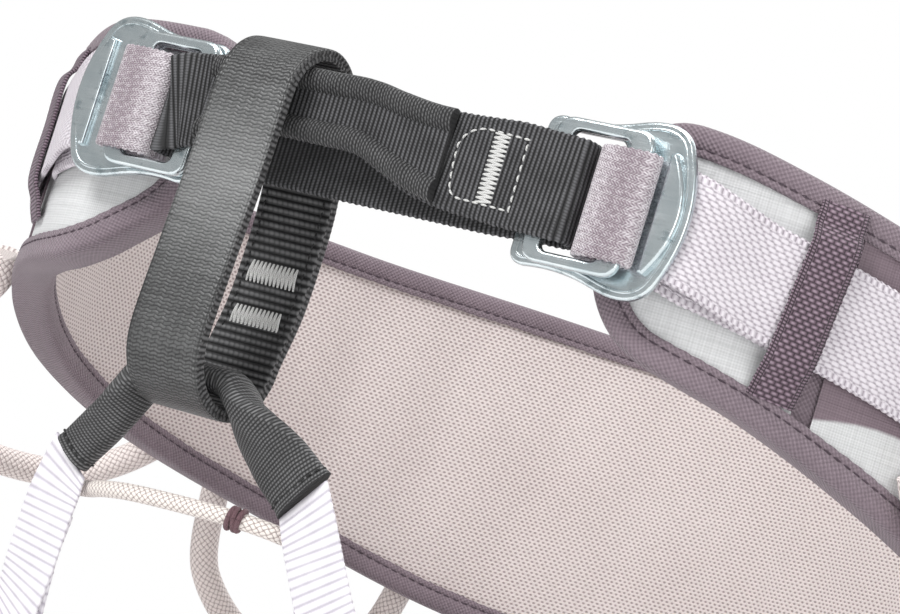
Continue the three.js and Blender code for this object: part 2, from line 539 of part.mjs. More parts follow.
  // rear riser: hook over the belt's anchor, elastic down to the leg loop
  const phi = m > 0 ? 154 : 206;
  const arch = [[-11, 5.4], [-8, 5.6], [-5.4, 8.8], [0, 9.2], [5.4, 8.8], [8, 5.6], [11, 5.4]]
    .map(([u, k]) => waist.at(phi + u / 1.98, -79, k));
  addPart(`riser_anchor_${name}`, ribbon(arch, V(0, 0, 1), 9, 0.9), fabric(mauve));
  const hook = [[7.4, -82], [7.4, -72], [8.2, -70.4], [10.2, -70.4], [11.3, -72], [11.3, -97]]
    .map(([k, z]) => waist.at(phi, z, k));
  addPart(`riser_hook_${name}`, ribbon(hook, waist.along(phi), 7, 1.5), { color: plasticGrey, roughness: 0.5 });
  const seat = leg.at(198, -152, 6.2), seat2 = leg.at(198, -166, 5.8);
  const e0 = waist.at(phi, -97.5, 11.3), e1 = waist.at(phi, -116, 11);
  const elastic = smooth([e0, e1, e1.clone().lerp(seat, 0.55).add(V(0, 2, 0)), seat, seat2], 12);
  addPart(`riser_elastic_${name}`, ribbon(elastic, spread([waist.along(phi), waist.along(phi),
    ...Array(3).fill(leg.along(198).multiplyScalar(m))], 13), 10, 0.9), fabric(mauve));
}

// ---------- gear loops and haul loop ----------
const GEAR_R = 3.8;
function gearLoop(name, a, za, b, zb, out, drop) {
  const mid = (a + b) / 2, zm = (za + zb) / 2;
  addPart(name, tube([waist.at(a, za + 1, 8.8), waist.at(lerp(a, mid, 0.06), za - 4, 9),
    waist.at(lerp(a, mid, 0.3), lerp(za, zm, 0.3) - drop * 0.7, 8 + out * 0.6),
    waist.at(mid, zm - drop, 8 + out),
    waist.at(lerp(mid, b, 0.7), lerp(zm, zb, 0.7) - drop * 0.7, 8 + out * 0.6),
    waist.at(lerp(mid, b, 0.94), zb - 4, 9), waist.at(b, zb + 1, 8.8)], GEAR_R, 22, 7), fabric(cordWhite, 0.6));
}
gearLoop('gear_loop_front_right', 62, -36, 108, -65, 26, 30);
gearLoop('gear_loop_front_left', 298, -38, 251, -65, 26, 30);
gearLoop('gear_loop_rear_right', 117, -66, 145.5, -74, 12, 42);
gearLoop('gear_loop_rear_left', 243, -66, 214.5, -74, 12, 42);
{
  const rows = [[6.2, -22], [6.4, -29], [13, -36], [15.5, -45], [13, -54], [6.4, -61], [6.2, -68]];
  const pts = smooth(rows.map(([k, z]) => waist.at(180, z, k)), 18);
  addPart('haul_loop', ribbon(pts, V(1, 0, 0), 12, WEB), fabric(darkWeb));
}

export default group;
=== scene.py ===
# Climbing harness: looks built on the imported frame. Lengths are in millimetres; times MM they are metres.
import math
import bpy
import numpy as np
from mathutils import Matrix, Vector


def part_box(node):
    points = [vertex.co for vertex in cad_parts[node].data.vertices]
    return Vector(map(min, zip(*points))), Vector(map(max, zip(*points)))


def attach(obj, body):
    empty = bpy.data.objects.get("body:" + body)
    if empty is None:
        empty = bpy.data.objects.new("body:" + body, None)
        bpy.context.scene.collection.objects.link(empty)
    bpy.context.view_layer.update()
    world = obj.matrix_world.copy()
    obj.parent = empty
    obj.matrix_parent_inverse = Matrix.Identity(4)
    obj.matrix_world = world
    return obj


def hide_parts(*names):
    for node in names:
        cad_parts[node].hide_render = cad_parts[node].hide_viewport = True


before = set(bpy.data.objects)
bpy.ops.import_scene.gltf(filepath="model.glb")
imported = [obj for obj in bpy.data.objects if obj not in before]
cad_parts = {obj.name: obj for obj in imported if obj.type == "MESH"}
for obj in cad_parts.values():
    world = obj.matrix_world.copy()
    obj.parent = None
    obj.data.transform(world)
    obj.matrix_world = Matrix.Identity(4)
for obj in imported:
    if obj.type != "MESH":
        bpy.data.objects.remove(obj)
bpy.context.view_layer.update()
MM = 0.001
WEB, STRAP_W = 1.4, 23.0                  # webbing thickness, light waist strap width
BELT_BINDING, LEG_BINDING = 6.2, 5.6      # visible widths of the folded edge tape
LEG_SCALE = 0.66                          # leg buckles and straps against the waist's
CORD_R, GEAR_R = 1.8, 3.8                 # bridge cord and gear loop radii
KNOT_X = 0.4                              # where the thread ring sits on the cord
PAD_SKIN = 0.3                            # gap left for the cover over the padding


def hex_rgb(code):
    """Linear RGBA of an sRGB hex colour."""
    out = []
    for i in (0, 2, 4):
        c = int(code[i:i + 2], 16) / 255
        out.append(c / 12.92 if c <= 0.04045 else ((c + 0.055) / 1.055) ** 2.4)
    return (*out, 1.0)


# ---------- camera ----------
def make_camera():
    position = Vector((0.3642, -0.6271, -0.0905))
    forward = Vector((-0.5285, 0.8433, 0.0973)).normalized()
    side = Vector((0.8464, 0.5309, -0.0040)).normalized()
    upward = side.cross(forward).normalized()
    roll = math.radians(17.471)
    right = side * math.cos(roll) + upward * math.sin(roll)
    up = right.cross(forward)
    data = bpy.data.cameras.new("camera")
    data.lens, data.sensor_width = 124.3, 36.0
    data.clip_start, data.clip_end = 0.02, 50
    cam = bpy.data.objects.new("camera", data)
    cam.matrix_world = Matrix.Translation(position) @ Matrix((right, up, -forward)).transposed().to_4x4()
    bpy.context.scene.collection.objects.link(cam)
    bpy.context.scene.camera = cam


make_camera()


# ---------- material node helpers ----------
class Num:
    """A number in a material's node tree, with arithmetic."""

    def __init__(self, tree, socket):
        self.tree, self.socket = tree, socket

    def op(self, kind, *others, clamp=False):
        node = self.tree.nodes.new("ShaderNodeMath")
        node.operation, node.use_clamp = kind, clamp
        for i, value in enumerate((self,) + others):
            if isinstance(value, Num):
                self.tree.links.new(value.socket, node.inputs[i])
            else:
                node.inputs[i].default_value = float(value)
        return Num(self.tree, node.outputs[0])

    def __add__(self, o): return self.op("ADD", o)
    def __radd__(self, o): return self.op("ADD", o)
    def __sub__(self, o): return self.op("SUBTRACT", o)
    def __rsub__(self, o): return (self * -1.0) + o
    def __mul__(self, o): return self.op("MULTIPLY", o)
    def __rmul__(self, o): return self.op("MULTIPLY", o)
    def __truediv__(self, o): return self.op("DIVIDE", o)
    def __pow__(self, o): return self.op("POWER", o)
    def sin(self): return self.op("SINE")
    def wave(self, period): return (self * (2 * math.pi / period)).sin()
    def abs(self): return self.op("ABSOLUTE")
    def floor(self): return self.op("FLOOR")
    def fract(self): return self.op("FRACT")
    def tri(self, period): return self.op("PINGPONG", period / 2) * (2 / period)
    def clamp(self): return self.op("ADD", 0.0, clamp=True)
    def hump(self): return (self * math.pi).sin().abs()

    def step(self, low, high):
        """0 below low, 1 above high, smooth between."""
        node = self.tree.nodes.new("ShaderNodeMapRange")
        node.interpolation_type = "SMOOTHSTEP"
        self.tree.links.new(self.socket, node.inputs["Value"])
        node.inputs["From Min"].default_value = low
        node.inputs["From Max"].default_value = high
        return Num(self.tree, node.outputs["Result"])


class Cloth:
    """One material's coordinates: u along, v across (mm), and edge, from 0 in the middle to 1 at the rim."""

    def __init__(self, tree):
        self.tree = tree
        self.u, self.v = self._uv("weave")
        self.run, side = self._uv("edge")
        self.edge = side.abs()
        self.side = side

    def _uv(self, name):
        node = self.tree.nodes.new("ShaderNodeUVMap")
        node.uv_map = name
        parts = self.tree.nodes.new("ShaderNodeSeparateXYZ")
        self.tree.links.new(node.outputs[0], parts.inputs[0])
        return Num(self.tree, parts.outputs[0]), Num(self.tree, parts.outputs[1])

    def noise(self, scale_u, scale_v, detail=2.0, seed=0.0):
        node = self.tree.nodes.new("ShaderNodeTexNoise")
        join = self.tree.nodes.new("ShaderNodeCombineXYZ")
        self.tree.links.new((self.u / scale_u).socket, join.inputs[0])
        self.tree.links.new((self.v / scale_v).socket, join.inputs[1])
        join.inputs[2].default_value = seed
        self.tree.links.new(join.outputs[0], node.inputs["Vector"])
        node.inputs["Scale"].default_value = 1.0
        node.inputs["Detail"].default_value = detail
        return Num(self.tree, node.outputs["Fac"])

    def mix(self, factor, a, b):
        node = self.tree.nodes.new("ShaderNodeMix")
        node.data_type = "RGBA"
        if isinstance(factor, Num):
            self.tree.links.new(factor.socket, node.inputs["Factor"])
        else:
            node.inputs["Factor"].default_value = factor
        for socket, value in ((node.inputs[6], a), (node.inputs[7], b)):
            if isinstance(value, tuple):
                socket.default_value = value
            else:
                self.tree.links.new(value, socket)
        return node.outputs[2]


MATERIALS = {}


def material(name, paint, bump=0.25, sheen=0.0, specular=0.5, coat=0.0, metallic=0.0, anisotropic=0.0):
    """paint(cloth) gives (colour, roughness, height from 0 to 1); bump is the height's size in millimetres."""
    m = bpy.data.materials.new(name)
    m.use_nodes = True
    tree = m.node_tree
    shader = tree.nodes["Principled BSDF"]
    colour, rough, height = paint(Cloth(tree))
    if isinstance(colour, tuple):
        shader.inputs["Base Color"].default_value = colour
    else:
        tree.links.new(colour, shader.inputs["Base Color"])
    if isinstance(rough, Num):
        tree.links.new(rough.socket, shader.inputs["Roughness"])
    else:
        shader.inputs["Roughness"].default_value = rough
    node = tree.nodes.new("ShaderNodeBump")
    node.inputs["Strength"].default_value = 1.0
    node.inputs["Distance"].default_value = bump * MM
    tree.links.new(height.socket, node.inputs["Height"])
    tree.links.new(node.outputs[0], shader.inputs["Normal"])
    shader.inputs["Sheen Weight"].default_value = sheen
    shader.inputs["Sheen Roughness"].default_value = 0.45
    shader.inputs["Specular IOR Level"].default_value = specular
    shader.inputs["Coat Weight"].default_value = coat
    shader.inputs["Coat Roughness"].default_value = 0.25
    shader.inputs["Metallic"].default_value = metallic
    shader.inputs["Anisotropic"].default_value = anisotropic
    MATERIALS[name] = m
    return m


def paint_ribbed(dark, mid, light, pitch=1.7, bead=1.25, rough=0.62, grainy=0.5):
    """Webbing with ribs across its width, each a row of small slanted beads."""
    def paint(c):
        row = (c.u / pitch).floor()
        along = (c.u / pitch).fract()
        across = (c.v / bead + row * 0.5 + along * 0.35).fract()
        rib = along.hump() ** 0.7
        beads = across.hump() ** 0.6
        height = rib * (1 - grainy + beads * grainy)
        worn = c.noise(9, 5, 3)
        lit = (height * 0.85 + (worn - 0.5) * 0.35 + c.edge.step(0.9, 1.0) * 0.12).clamp()
        colour = c.mix(lit.step(0.0, 0.55), hex_rgb(dark), hex_rgb(mid))
        colour = c.mix(lit.step(0.5, 1.0), colour, hex_rgb(light))
        return colour, rough + (1 - height) * 0.2, height
    return paint


def paint_satin(c):
    """Belay loop's smooth face: wavy satin floats across its width, with dotted edges, and a painted lighter
    sheen band along the middle of the front strand.
    """
    wavy = c.u + c.v.wave(2.3) * 0.12 + c.noise(7, 3, 2) * 0.6
    row = (wavy / 0.78).floor()
    along = (wavy / 0.78).fract().hump() ** 0.7
    dash = (c.v / 1.9 + row * 0.5).fract()
    float_ = along * (1 - (dash - 0.5).abs().step(0.34, 0.5) * 0.45)
    edge = c.edge.step(0.84, 0.9)
    dots = (c.u / 1.3).fract().hump() * edge * (c.v / 0.9).fract().hump()
    height = float_ * (1 - edge) + dots
    streak = c.noise(0.9, 12, 2, 3.0)
    cloud = c.noise(34, 16, 2, 8.0)
    # painted sheen: a lighter band round 57 mm along the loop, the middle of the front strand
    painted_sheen_band = (1 - (c.u - 57.0).abs() / 26.0).clamp()
    lit = (float_ * 0.34 + streak * 0.34 + cloud * 0.3 - 0.3 + painted_sheen_band * 0.4 - edge * 0.25 + dots * 0.4).clamp()
    colour = c.mix(lit.step(0.0, 0.95), hex_rgb("1f1f20"), hex_rgb("858686"))
    return colour, 0.36 + (1 - float_) * 0.22, height


def paint_light_roll(c):
    """Light webbing rolled round a buckle bar: fine herringbone, mottled, with painted bright glints and
    painted light and shade rising and falling along the roll.
    """
    slant = c.v.tri(1.7) * 0.9
    lines = (c.u + slant).wave(0.72) * 0.5 + 0.5
    fine = (c.v + c.u * 0.2).wave(0.5) * 0.5 + 0.5
    height = lines * 0.6 + fine * 0.4
    # mottled tone, which also paints the bright glints
    mottle_and_glints = c.noise(1.3, 0.7, 3)
    # painted light and shade over the roll's crown, a wave every 15 mm along it
    sweep = c.u.wave(15.0) * 0.14
    lit = (height * 0.42 + mottle_and_glints * 0.85 - 0.24 + sweep).clamp()
    colour = c.mix(lit.step(0.1, 0.9), hex_rgb("85767f"), hex_rgb("ece6eb"))
    return colour, 0.4 + (1 - height) * 0.2, height


def paint_light_tail(c):
    """Light webbing lying flat: diagonal broken twill with small dark gaps, dotted along its edges."""
    row = (c.v / 0.95).floor()
    across = (c.v / 0.95).fract().hump() ** 0.5
    place = (c.u / 2.3 + row * 0.37).fract()
    gap = (1 - (place - 0.5).abs().step(0.06, 0.22)) * (1 - across.step(0.75, 1.0) * 0.6)
    selvedge = c.edge.step(0.84, 0.88)
    dots = (c.u / 1.5 + (c.v / 1.1).floor() * 0.5).fract().hump()
    height = (across * 0.6 + 0.4) * (1 - gap * 0.8) * (1 - selvedge) + selvedge * dots
    shade = c.noise(12, 6, 2)
    lit = (height * 0.85 + shade * 0.35 - 0.12).clamp()
    colour = c.mix(lit.step(0.0, 0.45), hex_rgb("9c919c"), hex_rgb("c9c1c9"))
    colour = c.mix(lit.step(0.45, 1.0), colour, hex_rgb("e3dde3"))
    return colour, 0.62, height


def paint_light_ribs(c):
    """Light leg webbing with fine ribs across it."""
    along = (c.u / 1.9).fract().hump()
    bead = (c.v / 0.7 + (c.u / 1.9).floor() * 0.5).fract().hump()
    height = along * (0.85 + bead * 0.15)
    lit = (height * 0.7 + c.noise(10, 4, 2) * 0.4 - 0.05).clamp()
    return c.mix(lit.step(0.0, 0.85), hex_rgb("b9b3bf"), hex_rgb("eeebf0")), 0.55, height


def paint_twill(dark, light, size=0.85, rough=0.78):
    """Fine fabric with crossing diagonals."""
    def paint(c):
        one = (c.u + c.v).wave(size) * 0.5 + 0.5
        two = (c.u - c.v * 1.1).wave(size * 1.15) * 0.5 + 0.5
        height = one * 0.6 + two * 0.4
        worn = c.noise(22, 8, 3)
        fuzz = c.noise(0.9, 0.9, 2, 5.0)
        lit = (height * 0.45 + worn * 0.45 + fuzz * 0.3 - 0.12).clamp()
        return c.mix(lit, hex_rgb(dark), hex_rgb(light)), rough, height
    return paint


def paint_basket(c):
    """Keeper tape: bumps in a basket pattern with ribbed edges."""
    row = (c.u / 0.95).floor()
    along = (c.u / 0.95).fract().hump()
    across = (c.v / 1.75 + row * 0.5).fract().hump()
    bumps = (along * across) ** 0.7
    rim = c.edge.step(0.72, 0.76)
    ribs = (c.u / 0.7 + c.edge * 1.2).fract().hump() * (c.v / 0.8).fract().hump().step(0.0, 0.6)
    height = bumps * (1 - rim) + ribs * rim * 0.85
    lit = (height * 0.95 + c.noise(12, 6, 2) * 0.25 - 0.1).clamp()
    colour = c.mix(lit.step(0.0, 0.5), hex_rgb("2e222b"), hex_rgb("66525f"))
    colour = c.mix(lit.step(0.5, 1.0), colour, hex_rgb("988592"))
    return colour, 0.75, height


def ripstop_cell(c, u, v):
    fine = (u.wave(0.62) + v.wave(0.58)) * 0.25 + 0.5
    streak = c.noise(0.7, 26, 2, 2.0) * 0.5 + c.noise(26, 0.7, 2, 7.0) * 0.5
    line = ((u / 4.4).fract().hump().step(0.0, 0.16) * (v / 4.4).fract().hump().step(0.0, 0.16))
    return fine, streak, line


def paint_ripstop(c):
    fine, streak, line = ripstop_cell(c, c.u, c.v)
    height = fine * 0.5 + (1 - line) * 0.35 + streak * 0.2
    lit = (fine * 0.3 + streak * 0.9 - 0.08 + line * 0.06).clamp()
    return c.mix(lit, hex_rgb("acadad"), hex_rgb("ecedee")), 0.5, height


def paint_shell(c):
    """Belt's outer fabric: mauve grid weave, with a light panel below a curved seam."""
    fine, streak, line = ripstop_cell(c, c.u, c.v)
    height = fine * 0.5 + (1 - line) * 0.3 + streak * 0.2
    lit = (fine * 0.35 + streak * 0.8 - 0.05).clamp()
    mauve = c.mix(lit, hex_rgb("5a4a52"), hex_rgb("907f88"))
    pale = c.mix(lit, hex_rgb("acadad"), hex_rgb("ecedee"))
    return c.mix(c.side.step(-0.01, 0.01), pale, mauve), 0.6, height


def paint_mesh(c):
    """Spacer mesh: rows of small holes, offset row by row."""
    row = (c.v / 0.95).floor()
    x = (c.u / 1.5 + row * 0.5).fract() - 0.5
    y = (c.v / 0.95).fract() - 0.5
    hole = 1 - ((x * x) * 4.4 + (y * y) * 4.4).step(0.12, 0.62)
    thread = (c.u + c.v * 1.7).wave(0.55) * 0.5 + 0.5
    height = (1 - hole) * 0.85 + thread * 0.15
    cloud = c.noise(60, 40, 2)
    lit = ((1 - hole) * 0.72 + thread * 0.12 + cloud * 0.25).clamp()
    colour = c.mix(lit.step(0.1, 0.6), hex_rgb("b3a2a0"), hex_rgb("e0d2cf"))
    colour = c.mix(lit.step(0.6, 1.1), colour, hex_rgb("f2e8e6"))
    return colour, 0.85, height


def paint_braid(dark, light, pitch, rough=0.6):
    """Tubular braid: two crossing sets of strands, each over the other in turn; v runs round the tube."""
    def paint(c):
        one, two = c.u / pitch + c.v, c.u / pitch - c.v
        over = ((one.floor() + two.floor()) * 0.5).fract() * 2.0
        high = one.fract().hump() * over + two.fract().hump() * (1 - over)
        low = one.fract().hump() * two.fract().hump()
        height = (high * 0.6 + low * 0.4) ** 0.8
        grain = c.noise(1.1, 0.25, 2)
        lit = (height * 0.85 + grain * 0.35 - 0.08).clamp()
        return c.mix(lit.step(0.1, 0.8), hex_rgb(dark), hex_rgb(light)), rough, height
    return paint


def paint_metal(c):
    """Satin anodised aluminium: fine brushing, soft clouding, painted dark reflections in patches and painted
    bright highlights along the rims.
    """
    brush = c.noise(22, 0.35, 3)
    cloud = c.noise(7, 6, 2, 4.0)
    pits = c.noise(0.5, 0.5, 2, 9.0)
    # painted dark reflections, in patches
    painted_dark_reflections = c.noise(3.5, 3.0, 2, 12.0).step(0.56, 0.72)
    lit = (brush * 0.25 + cloud * 0.75 - 0.02).clamp()
    colour = c.mix(lit, hex_rgb("aebfc5"), hex_rgb("f2f7f8"))
    colour = c.mix(painted_dark_reflections * 0.55, colour, hex_rgb("64787f"))
    # painted highlights along the rims
    colour = c.mix(c.edge.step(0.9, 1.0) * cloud.step(0.3, 0.6) * 0.7, colour, hex_rgb("f4f8f8"))
    return colour, 0.19 + brush * 0.1 + painted_dark_reflections * 0.06, brush * 0.12 + pits * 0.1 + cloud * 0.78


def paint_thread(code):
    def paint(c):
        twist = (c.u * 2.2 + c.v * 3.0).wave(1.0) * 0.5 + 0.5
        lit = (twist * 0.5 + c.noise(1.2, 1.2, 2) * 0.5).clamp()
        dark = tuple(x * 0.62 for x in hex_rgb(code)[:3]) + (1.0,)
        return c.mix(lit, dark, hex_rgb(code)), 0.55, twist
    return paint


def paint_plastic(c):
    grain = c.noise(0.6, 0.6, 3)
    cloud = c.noise(12, 12, 2, 3.0)
    colour = c.mix(cloud, hex_rgb("4c444a"), hex_rgb("6a6067"))
    colour = c.mix(c.edge.step(0.8, 1.0) * 0.35, colour, hex_rgb("8a8086"))
    return colour, 0.42 + grain * 0.15, grain


def paint_floor(c):
    grain = c.noise(40, 40, 3)
    return c.mix(grain, (0.86, 0.86, 0.86, 1), (0.9, 0.9, 0.9, 1)), 0.8, grain


material("web_dark", paint_ribbed("111112", "2b2b2c", "67676a", 1.12, 0.62, 0.66, 0.25), bump=0.36,
         specular=0.4)
material("web_dark_edge", paint_ribbed("141415", "353536", "6c6c6d", 1.25, 1.1), bump=0.4)
material("guard_grain", paint_ribbed("151516", "323233", "6a6a6b", 0.75, 0.95), bump=0.28)
material("belay_satin", paint_satin, bump=0.17, specular=0.6, anisotropic=0.3)
material("belay_ribs", paint_ribbed("0f0f10", "2c2c2d", "727273", 1.75, 1.4, 0.55, 0.22), bump=0.5)
material("light_roll", paint_light_roll, bump=0.22, sheen=0.15, specular=0.6)
material("light_tail", paint_light_tail, bump=0.3, sheen=0.15)
material("light_ribs", paint_light_ribs, bump=0.22, sheen=0.15)
material("mauve_twill", paint_twill("5b4e56", "9f8f98", 1.1), bump=0.28, sheen=0.2)
material("mauve_shell", paint_shell, bump=0.12, sheen=0.2)
material("keeper_basket", paint_basket, bump=0.42, sheen=0.15)
material("ripstop_light", paint_ripstop, bump=0.1, sheen=0.05)
material("mesh_lining", paint_mesh, bump=0.4, sheen=0.15)
material("sleeve_weave", paint_ribbed("161617", "363637", "747475", 0.8, 0.7, 0.5), bump=0.26)
material("gear_braid", paint_braid("b3a3a0", "f6ece8", 1.8), bump=0.26, sheen=0.1)
material("cord_braid", paint_braid("9c8b87", "f4ece6", 1.5), bump=0.2, sheen=0.1)
material("buckle_metal", paint_metal, bump=0.22, metallic=0.95, specular=0.5)
material("thread_white", paint_thread("eeeeec"), bump=0.1)
material("thread_mauve", paint_thread("574853"), bump=0.1)
material("thread_dark", paint_thread("2b2b2c"), bump=0.1)
material("knot_brown", paint_thread("8d6b72"), bump=0.25)
material("plastic_grey", paint_plastic, bump=0.05)
material("floor_pale", paint_floor, bump=0.05)


# ---------- geometry helpers, in millimetres ----------
def unit(a):
    a = np.asarray(a, float)
    return a / np.maximum(np.linalg.norm(a, axis=-1, keepdims=True), 1e-12)


def lengths(path):
    """The distance along a path to each of its points."""
    return np.concatenate([[0], np.cumsum(np.linalg.norm(np.diff(path, axis=0), axis=1))])


def hermite(t, p, q, leaving, arriving):
    return ((2 * t**3 - 3 * t**2 + 1) * p + (t**3 - 2 * t**2 + t) * leaving
            + (3 * t**2 - 2 * t**3) * q + (t**3 - t**2) * arriving)


def linked(name, data):
    """A new object, linked into the scene."""
    ob = bpy.data.objects.new(name, data)
    bpy.context.scene.collection.objects.link(ob)
    return ob


def coordinates(me):
    co = np.zeros(len(me.vertices) * 3)
    me.vertices.foreach_get("co", co)
    return co.reshape(-1, 3)


def round_sections(radii, sides):
    """Round sections of the given radii, one per path point."""
    ang = np.arange(sides) / sides * 2 * math.pi
    return np.stack([np.cos(ang), np.sin(ang)], 1)[None] * np.asarray(radii)[:, None, None]


def rim_cells(n, k):
    """The cells round the rim of a grid of n by k, in order."""
    return ([(i, 0) for i in range(n)] + [(n - 1, j) for j in range(1, k)]
            + [(i, k - 1) for i in range(n - 2, -1, -1)] + [(0, j) for j in range(k - 2, 0, -1)])


def spline(points, step=1.0, closed=False):
    """A centripetal Catmull-Rom curve: its points, and each one's place among the given points."""
    p = np.asarray(points, float)
    n = len(p)
    out, par = [], []
    for i in range(n if closed else n - 1):
        p1, p2 = p[i], p[(i + 1) % n]
        p0 = p[i - 1] if closed or i > 0 else 2 * p1 - p2
        p3 = p[(i + 2) % n] if closed or i + 2 < n else 2 * p2 - p1
        d1, d2, d3 = (max(np.linalg.norm(b - a) ** 0.5, 1e-3) for a, b in ((p0, p1), (p1, p2), (p2, p3)))
        t1 = ((p1 - p0) / d1 - (p2 - p0) / (d1 + d2) + (p2 - p1) / d2) * d2
        t2 = ((p2 - p1) / d2 - (p3 - p1) / (d2 + d3) + (p3 - p2) / d3) * d2
        m = max(2, math.ceil(np.linalg.norm(p2 - p1) / step))
        t = (np.arange(m) / m)[:, None]
        out.append(hermite(t, p1, p2, t1, t2))
        par.append(i + t[:, 0])
    if not closed:
        out.append(p[-1:])
        par.append([n - 1.0])
    return np.concatenate(out), np.concatenate(par)


def keyed(values, par, closed=False):
    """Values given at the control points, spread along a spline's places."""
    v = np.asarray(values, float)
    if closed:
        v = np.concatenate([v, v[:1]])
    k = np.clip(np.floor(par).astype(int), 0, len(v) - 2)
    t = par - k
    return v[k] + (v[k + 1] - v[k]) * (t if v.ndim == 1 else t[:, None])


class Build:
    """Collects surfaces into one mesh, with weave coordinates and materials."""

    def __init__(self):
        self.v, self.f, self.uv, self.ed, self.mi, self.n, self.mats = [], [], [], [], [], 0, []

    def mat(self, name):
        if name not in self.mats:
            self.mats.append(name)
        return self.mats.index(name)

    def grid(self, pts, u, v, e, mat, loop_u=False, loop_v=False, ends=False, end_mat=None):
        """pts[i, j]; u, v, e have one more row or column than pts where that way is closed."""
        n, k = pts.shape[:2]
        base = self.n
        self.v.append(pts.reshape(-1, 3))
        self.n += n * k
        mats = mat if callable(mat) else (lambda i, j: mat)
        length = max(float(np.max(u)), 1e-6)
        for i in range(n if loop_u else n - 1):
            i2 = (i + 1) % n
            for j in range(k if loop_v else k - 1):
                j2 = (j + 1) % k
                self.f.append((base + i * k + j, base + i2 * k + j, base + i2 * k + j2, base + i * k + j2))
                for a, b in ((i, j), (i + 1, j), (i + 1, j + 1), (i, j + 1)):
                    self.uv.append((u[a, b], v[a, b]))
                    self.ed.append((u[a, b] / length, e[a, b]))
                self.mi.append(self.mat(mats(i, j)))
        if ends:
            for i in (0, n - 1):
                ring = [base + i * k + j for j in range(k)]
                order = list(range(k)) if i else list(range(k))[::-1]
                self.f.append(tuple(ring[j] for j in order))
                for j in order:
                    self.uv.append((u[i, j], v[i, j]))
                    self.ed.append((u[i, j] / length, e[i, j]))
                self.mi.append(self.mat(end_mat or mats(min(i, n - 2), 0)))

    def sweep(self, path, dirs, section, mat, closed=False, square=True, across=None, end_mat=None):
        """A section of (a across, b out) points, the same for all or one per path point, along a path."""
        path = np.asarray(path, float)
        n = len(path)
        if closed:
            t = unit(np.roll(path, -1, 0) - np.roll(path, 1, 0))
        else:
            t = unit(np.gradient(path, axis=0))
        w = unit(np.broadcast_to(np.asarray(dirs, float), path.shape))
        if square:
            w = unit(w - (w * t).sum(1, keepdims=True) * t)
        else:
            t = unit(t - (w * t).sum(1, keepdims=True) * w)
        m = unit(np.cross(t, w))
        sec = np.asarray(section, float)
        sec = np.broadcast_to(sec, (n,) + sec.shape[-2:])
        pts = path[:, None] + sec[..., :1] * w[:, None] + sec[..., 1:2] * m[:, None]
        k = sec.shape[1]
        s = lengths(path)
        if closed:
            s = np.append(s, s[-1] + np.linalg.norm(path[0] - path[-1]))
        rows = len(s)
        u = np.repeat(s[:, None], k + 1, 1)
        a = np.concatenate([sec[..., 0], sec[:, :1, 0]], 1)
        if closed:
            a = np.concatenate([a, a[:1]])
        v = a if across is None else np.broadcast_to(across, (rows, k + 1))
        e = a / np.maximum(np.abs(a).max(1, keepdims=True), 1e-6)
        self.grid(pts, u, v, e, mat, closed, True, ends=not closed, end_mat=end_mat)
        return pts

    def tube(self, path, radius, mat, sides, turns):
        """A round tube; v runs from 0 to turns round it."""
        path = np.asarray(path, float)
        t = unit(np.gradient(path, axis=0))
        w = np.zeros_like(path)
        start = unit(np.cross(t[0], [0.31, 0.52, 0.8]))
        for i in range(len(path)):
            start = unit(start - (start @ t[i]) * t[i])
            w[i] = start
        r = np.broadcast_to(np.asarray(radius, float), (len(path),))
        across = np.arange(sides + 1)[None] / sides * turns
        return self.sweep(path, w, round_sections(r, sides), mat, across=across)

    def make(self, name, body, replaces=(), slot=None, sharp=40):
        me = bpy.data.meshes.new(name)
        co = np.concatenate(self.v) * MM
        me.from_pydata(co.tolist(), [], self.f)
        for key, values in (("weave", self.uv), ("edge", self.ed)):
            layer = me.uv_layers.new(name=key)
            layer.data.foreach_set("uv", np.asarray(values, np.float32).ravel())
        for m in self.mats:
            me.materials.append(MATERIALS[m])
        me.polygons.foreach_set("material_index", self.mi)
        me.update()
        outward(me)
        me.shade_smooth()
        me.set_sharp_from_angle(angle=math.radians(sharp))
        ob = linked(name, me)
        if body:
            settle(ob, body, replaces, slot)
        return ob


def outward(me):
    """Turns all faces round if the mesh holds a negative volume."""
    me.calc_loop_triangles()
    tri = np.zeros(len(me.loop_triangles) * 3, int)
    me.loop_triangles.foreach_get("vertices", tri)
    p = coordinates(me)[tri.reshape(-1, 3)]
    if np.einsum("ij,ij->i", p[:, 0], np.cross(p[:, 1], p[:, 2])).sum() < 0:
        me.flip_normals()


def settle(ob, body, replaces=(), slot=None):
    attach(ob, body)
    if replaces:
        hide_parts(*replaces)
    return ob


def strap_section(width, thick, flats=6, edges=4):
    """A flat strap's section with rounded edges, as a closed list of (across, out)."""
    h, r = width / 2, thick / 2
    out = []
    xs = np.linspace(-(h - r), h - r, flats)
    for x in xs:
        out.append((x, r))
    for i in range(1, edges):
        a = math.pi / 2 - math.pi * i / edges
        out.append((h - r + r * math.cos(a), r * math.sin(a)))
    for x in xs[::-1]:
        out.append((x, -r))
    for i in range(1, edges):
        a = -math.pi / 2 - math.pi * i / edges
        out.append((-(h - r) + r * math.cos(a), r * math.sin(a)))
    return np.array(out)


def woven_sections(path, width, thick, ripple=(1.7, 0.14)):
    """Strap sections along a path, with the edges scalloped by the weft."""
    s = lengths(path)
    width = np.broadcast_to(np.asarray(width, float), (len(path),))
    out = []
    for i in range(len(path)):
        sec = strap_section(width[i], thick)
        edge = np.abs(sec[:, 0]) > width[i] / 2 - thick * 0.55
        sec[edge, 0] *= 1 + ripple[1] / width[i] * 2 * math.sin(2 * math.pi * s[i] / ripple[0])
        out.append(sec)
    return np.array(out)


def stitches(build, places, ups, ways, length, radius, mat, sides=6):
    """Short thread stitches, each a bent capsule sunk at both ends."""
    for p, up, way in zip(places, ups, ways):
        t = np.linspace(-1, 1, 5)
        path = p + np.outer(t * length / 2, way) + np.outer((0.55 - t**2) * radius * 1.5, up)
        r = radius * np.array([0.45, 0.95, 1.0, 0.95, 0.45])
        side = unit(np.cross(way, up))
        build.sweep(path, side, round_sections(r, sides), mat, across=np.arange(sides + 1)[None] / sides)


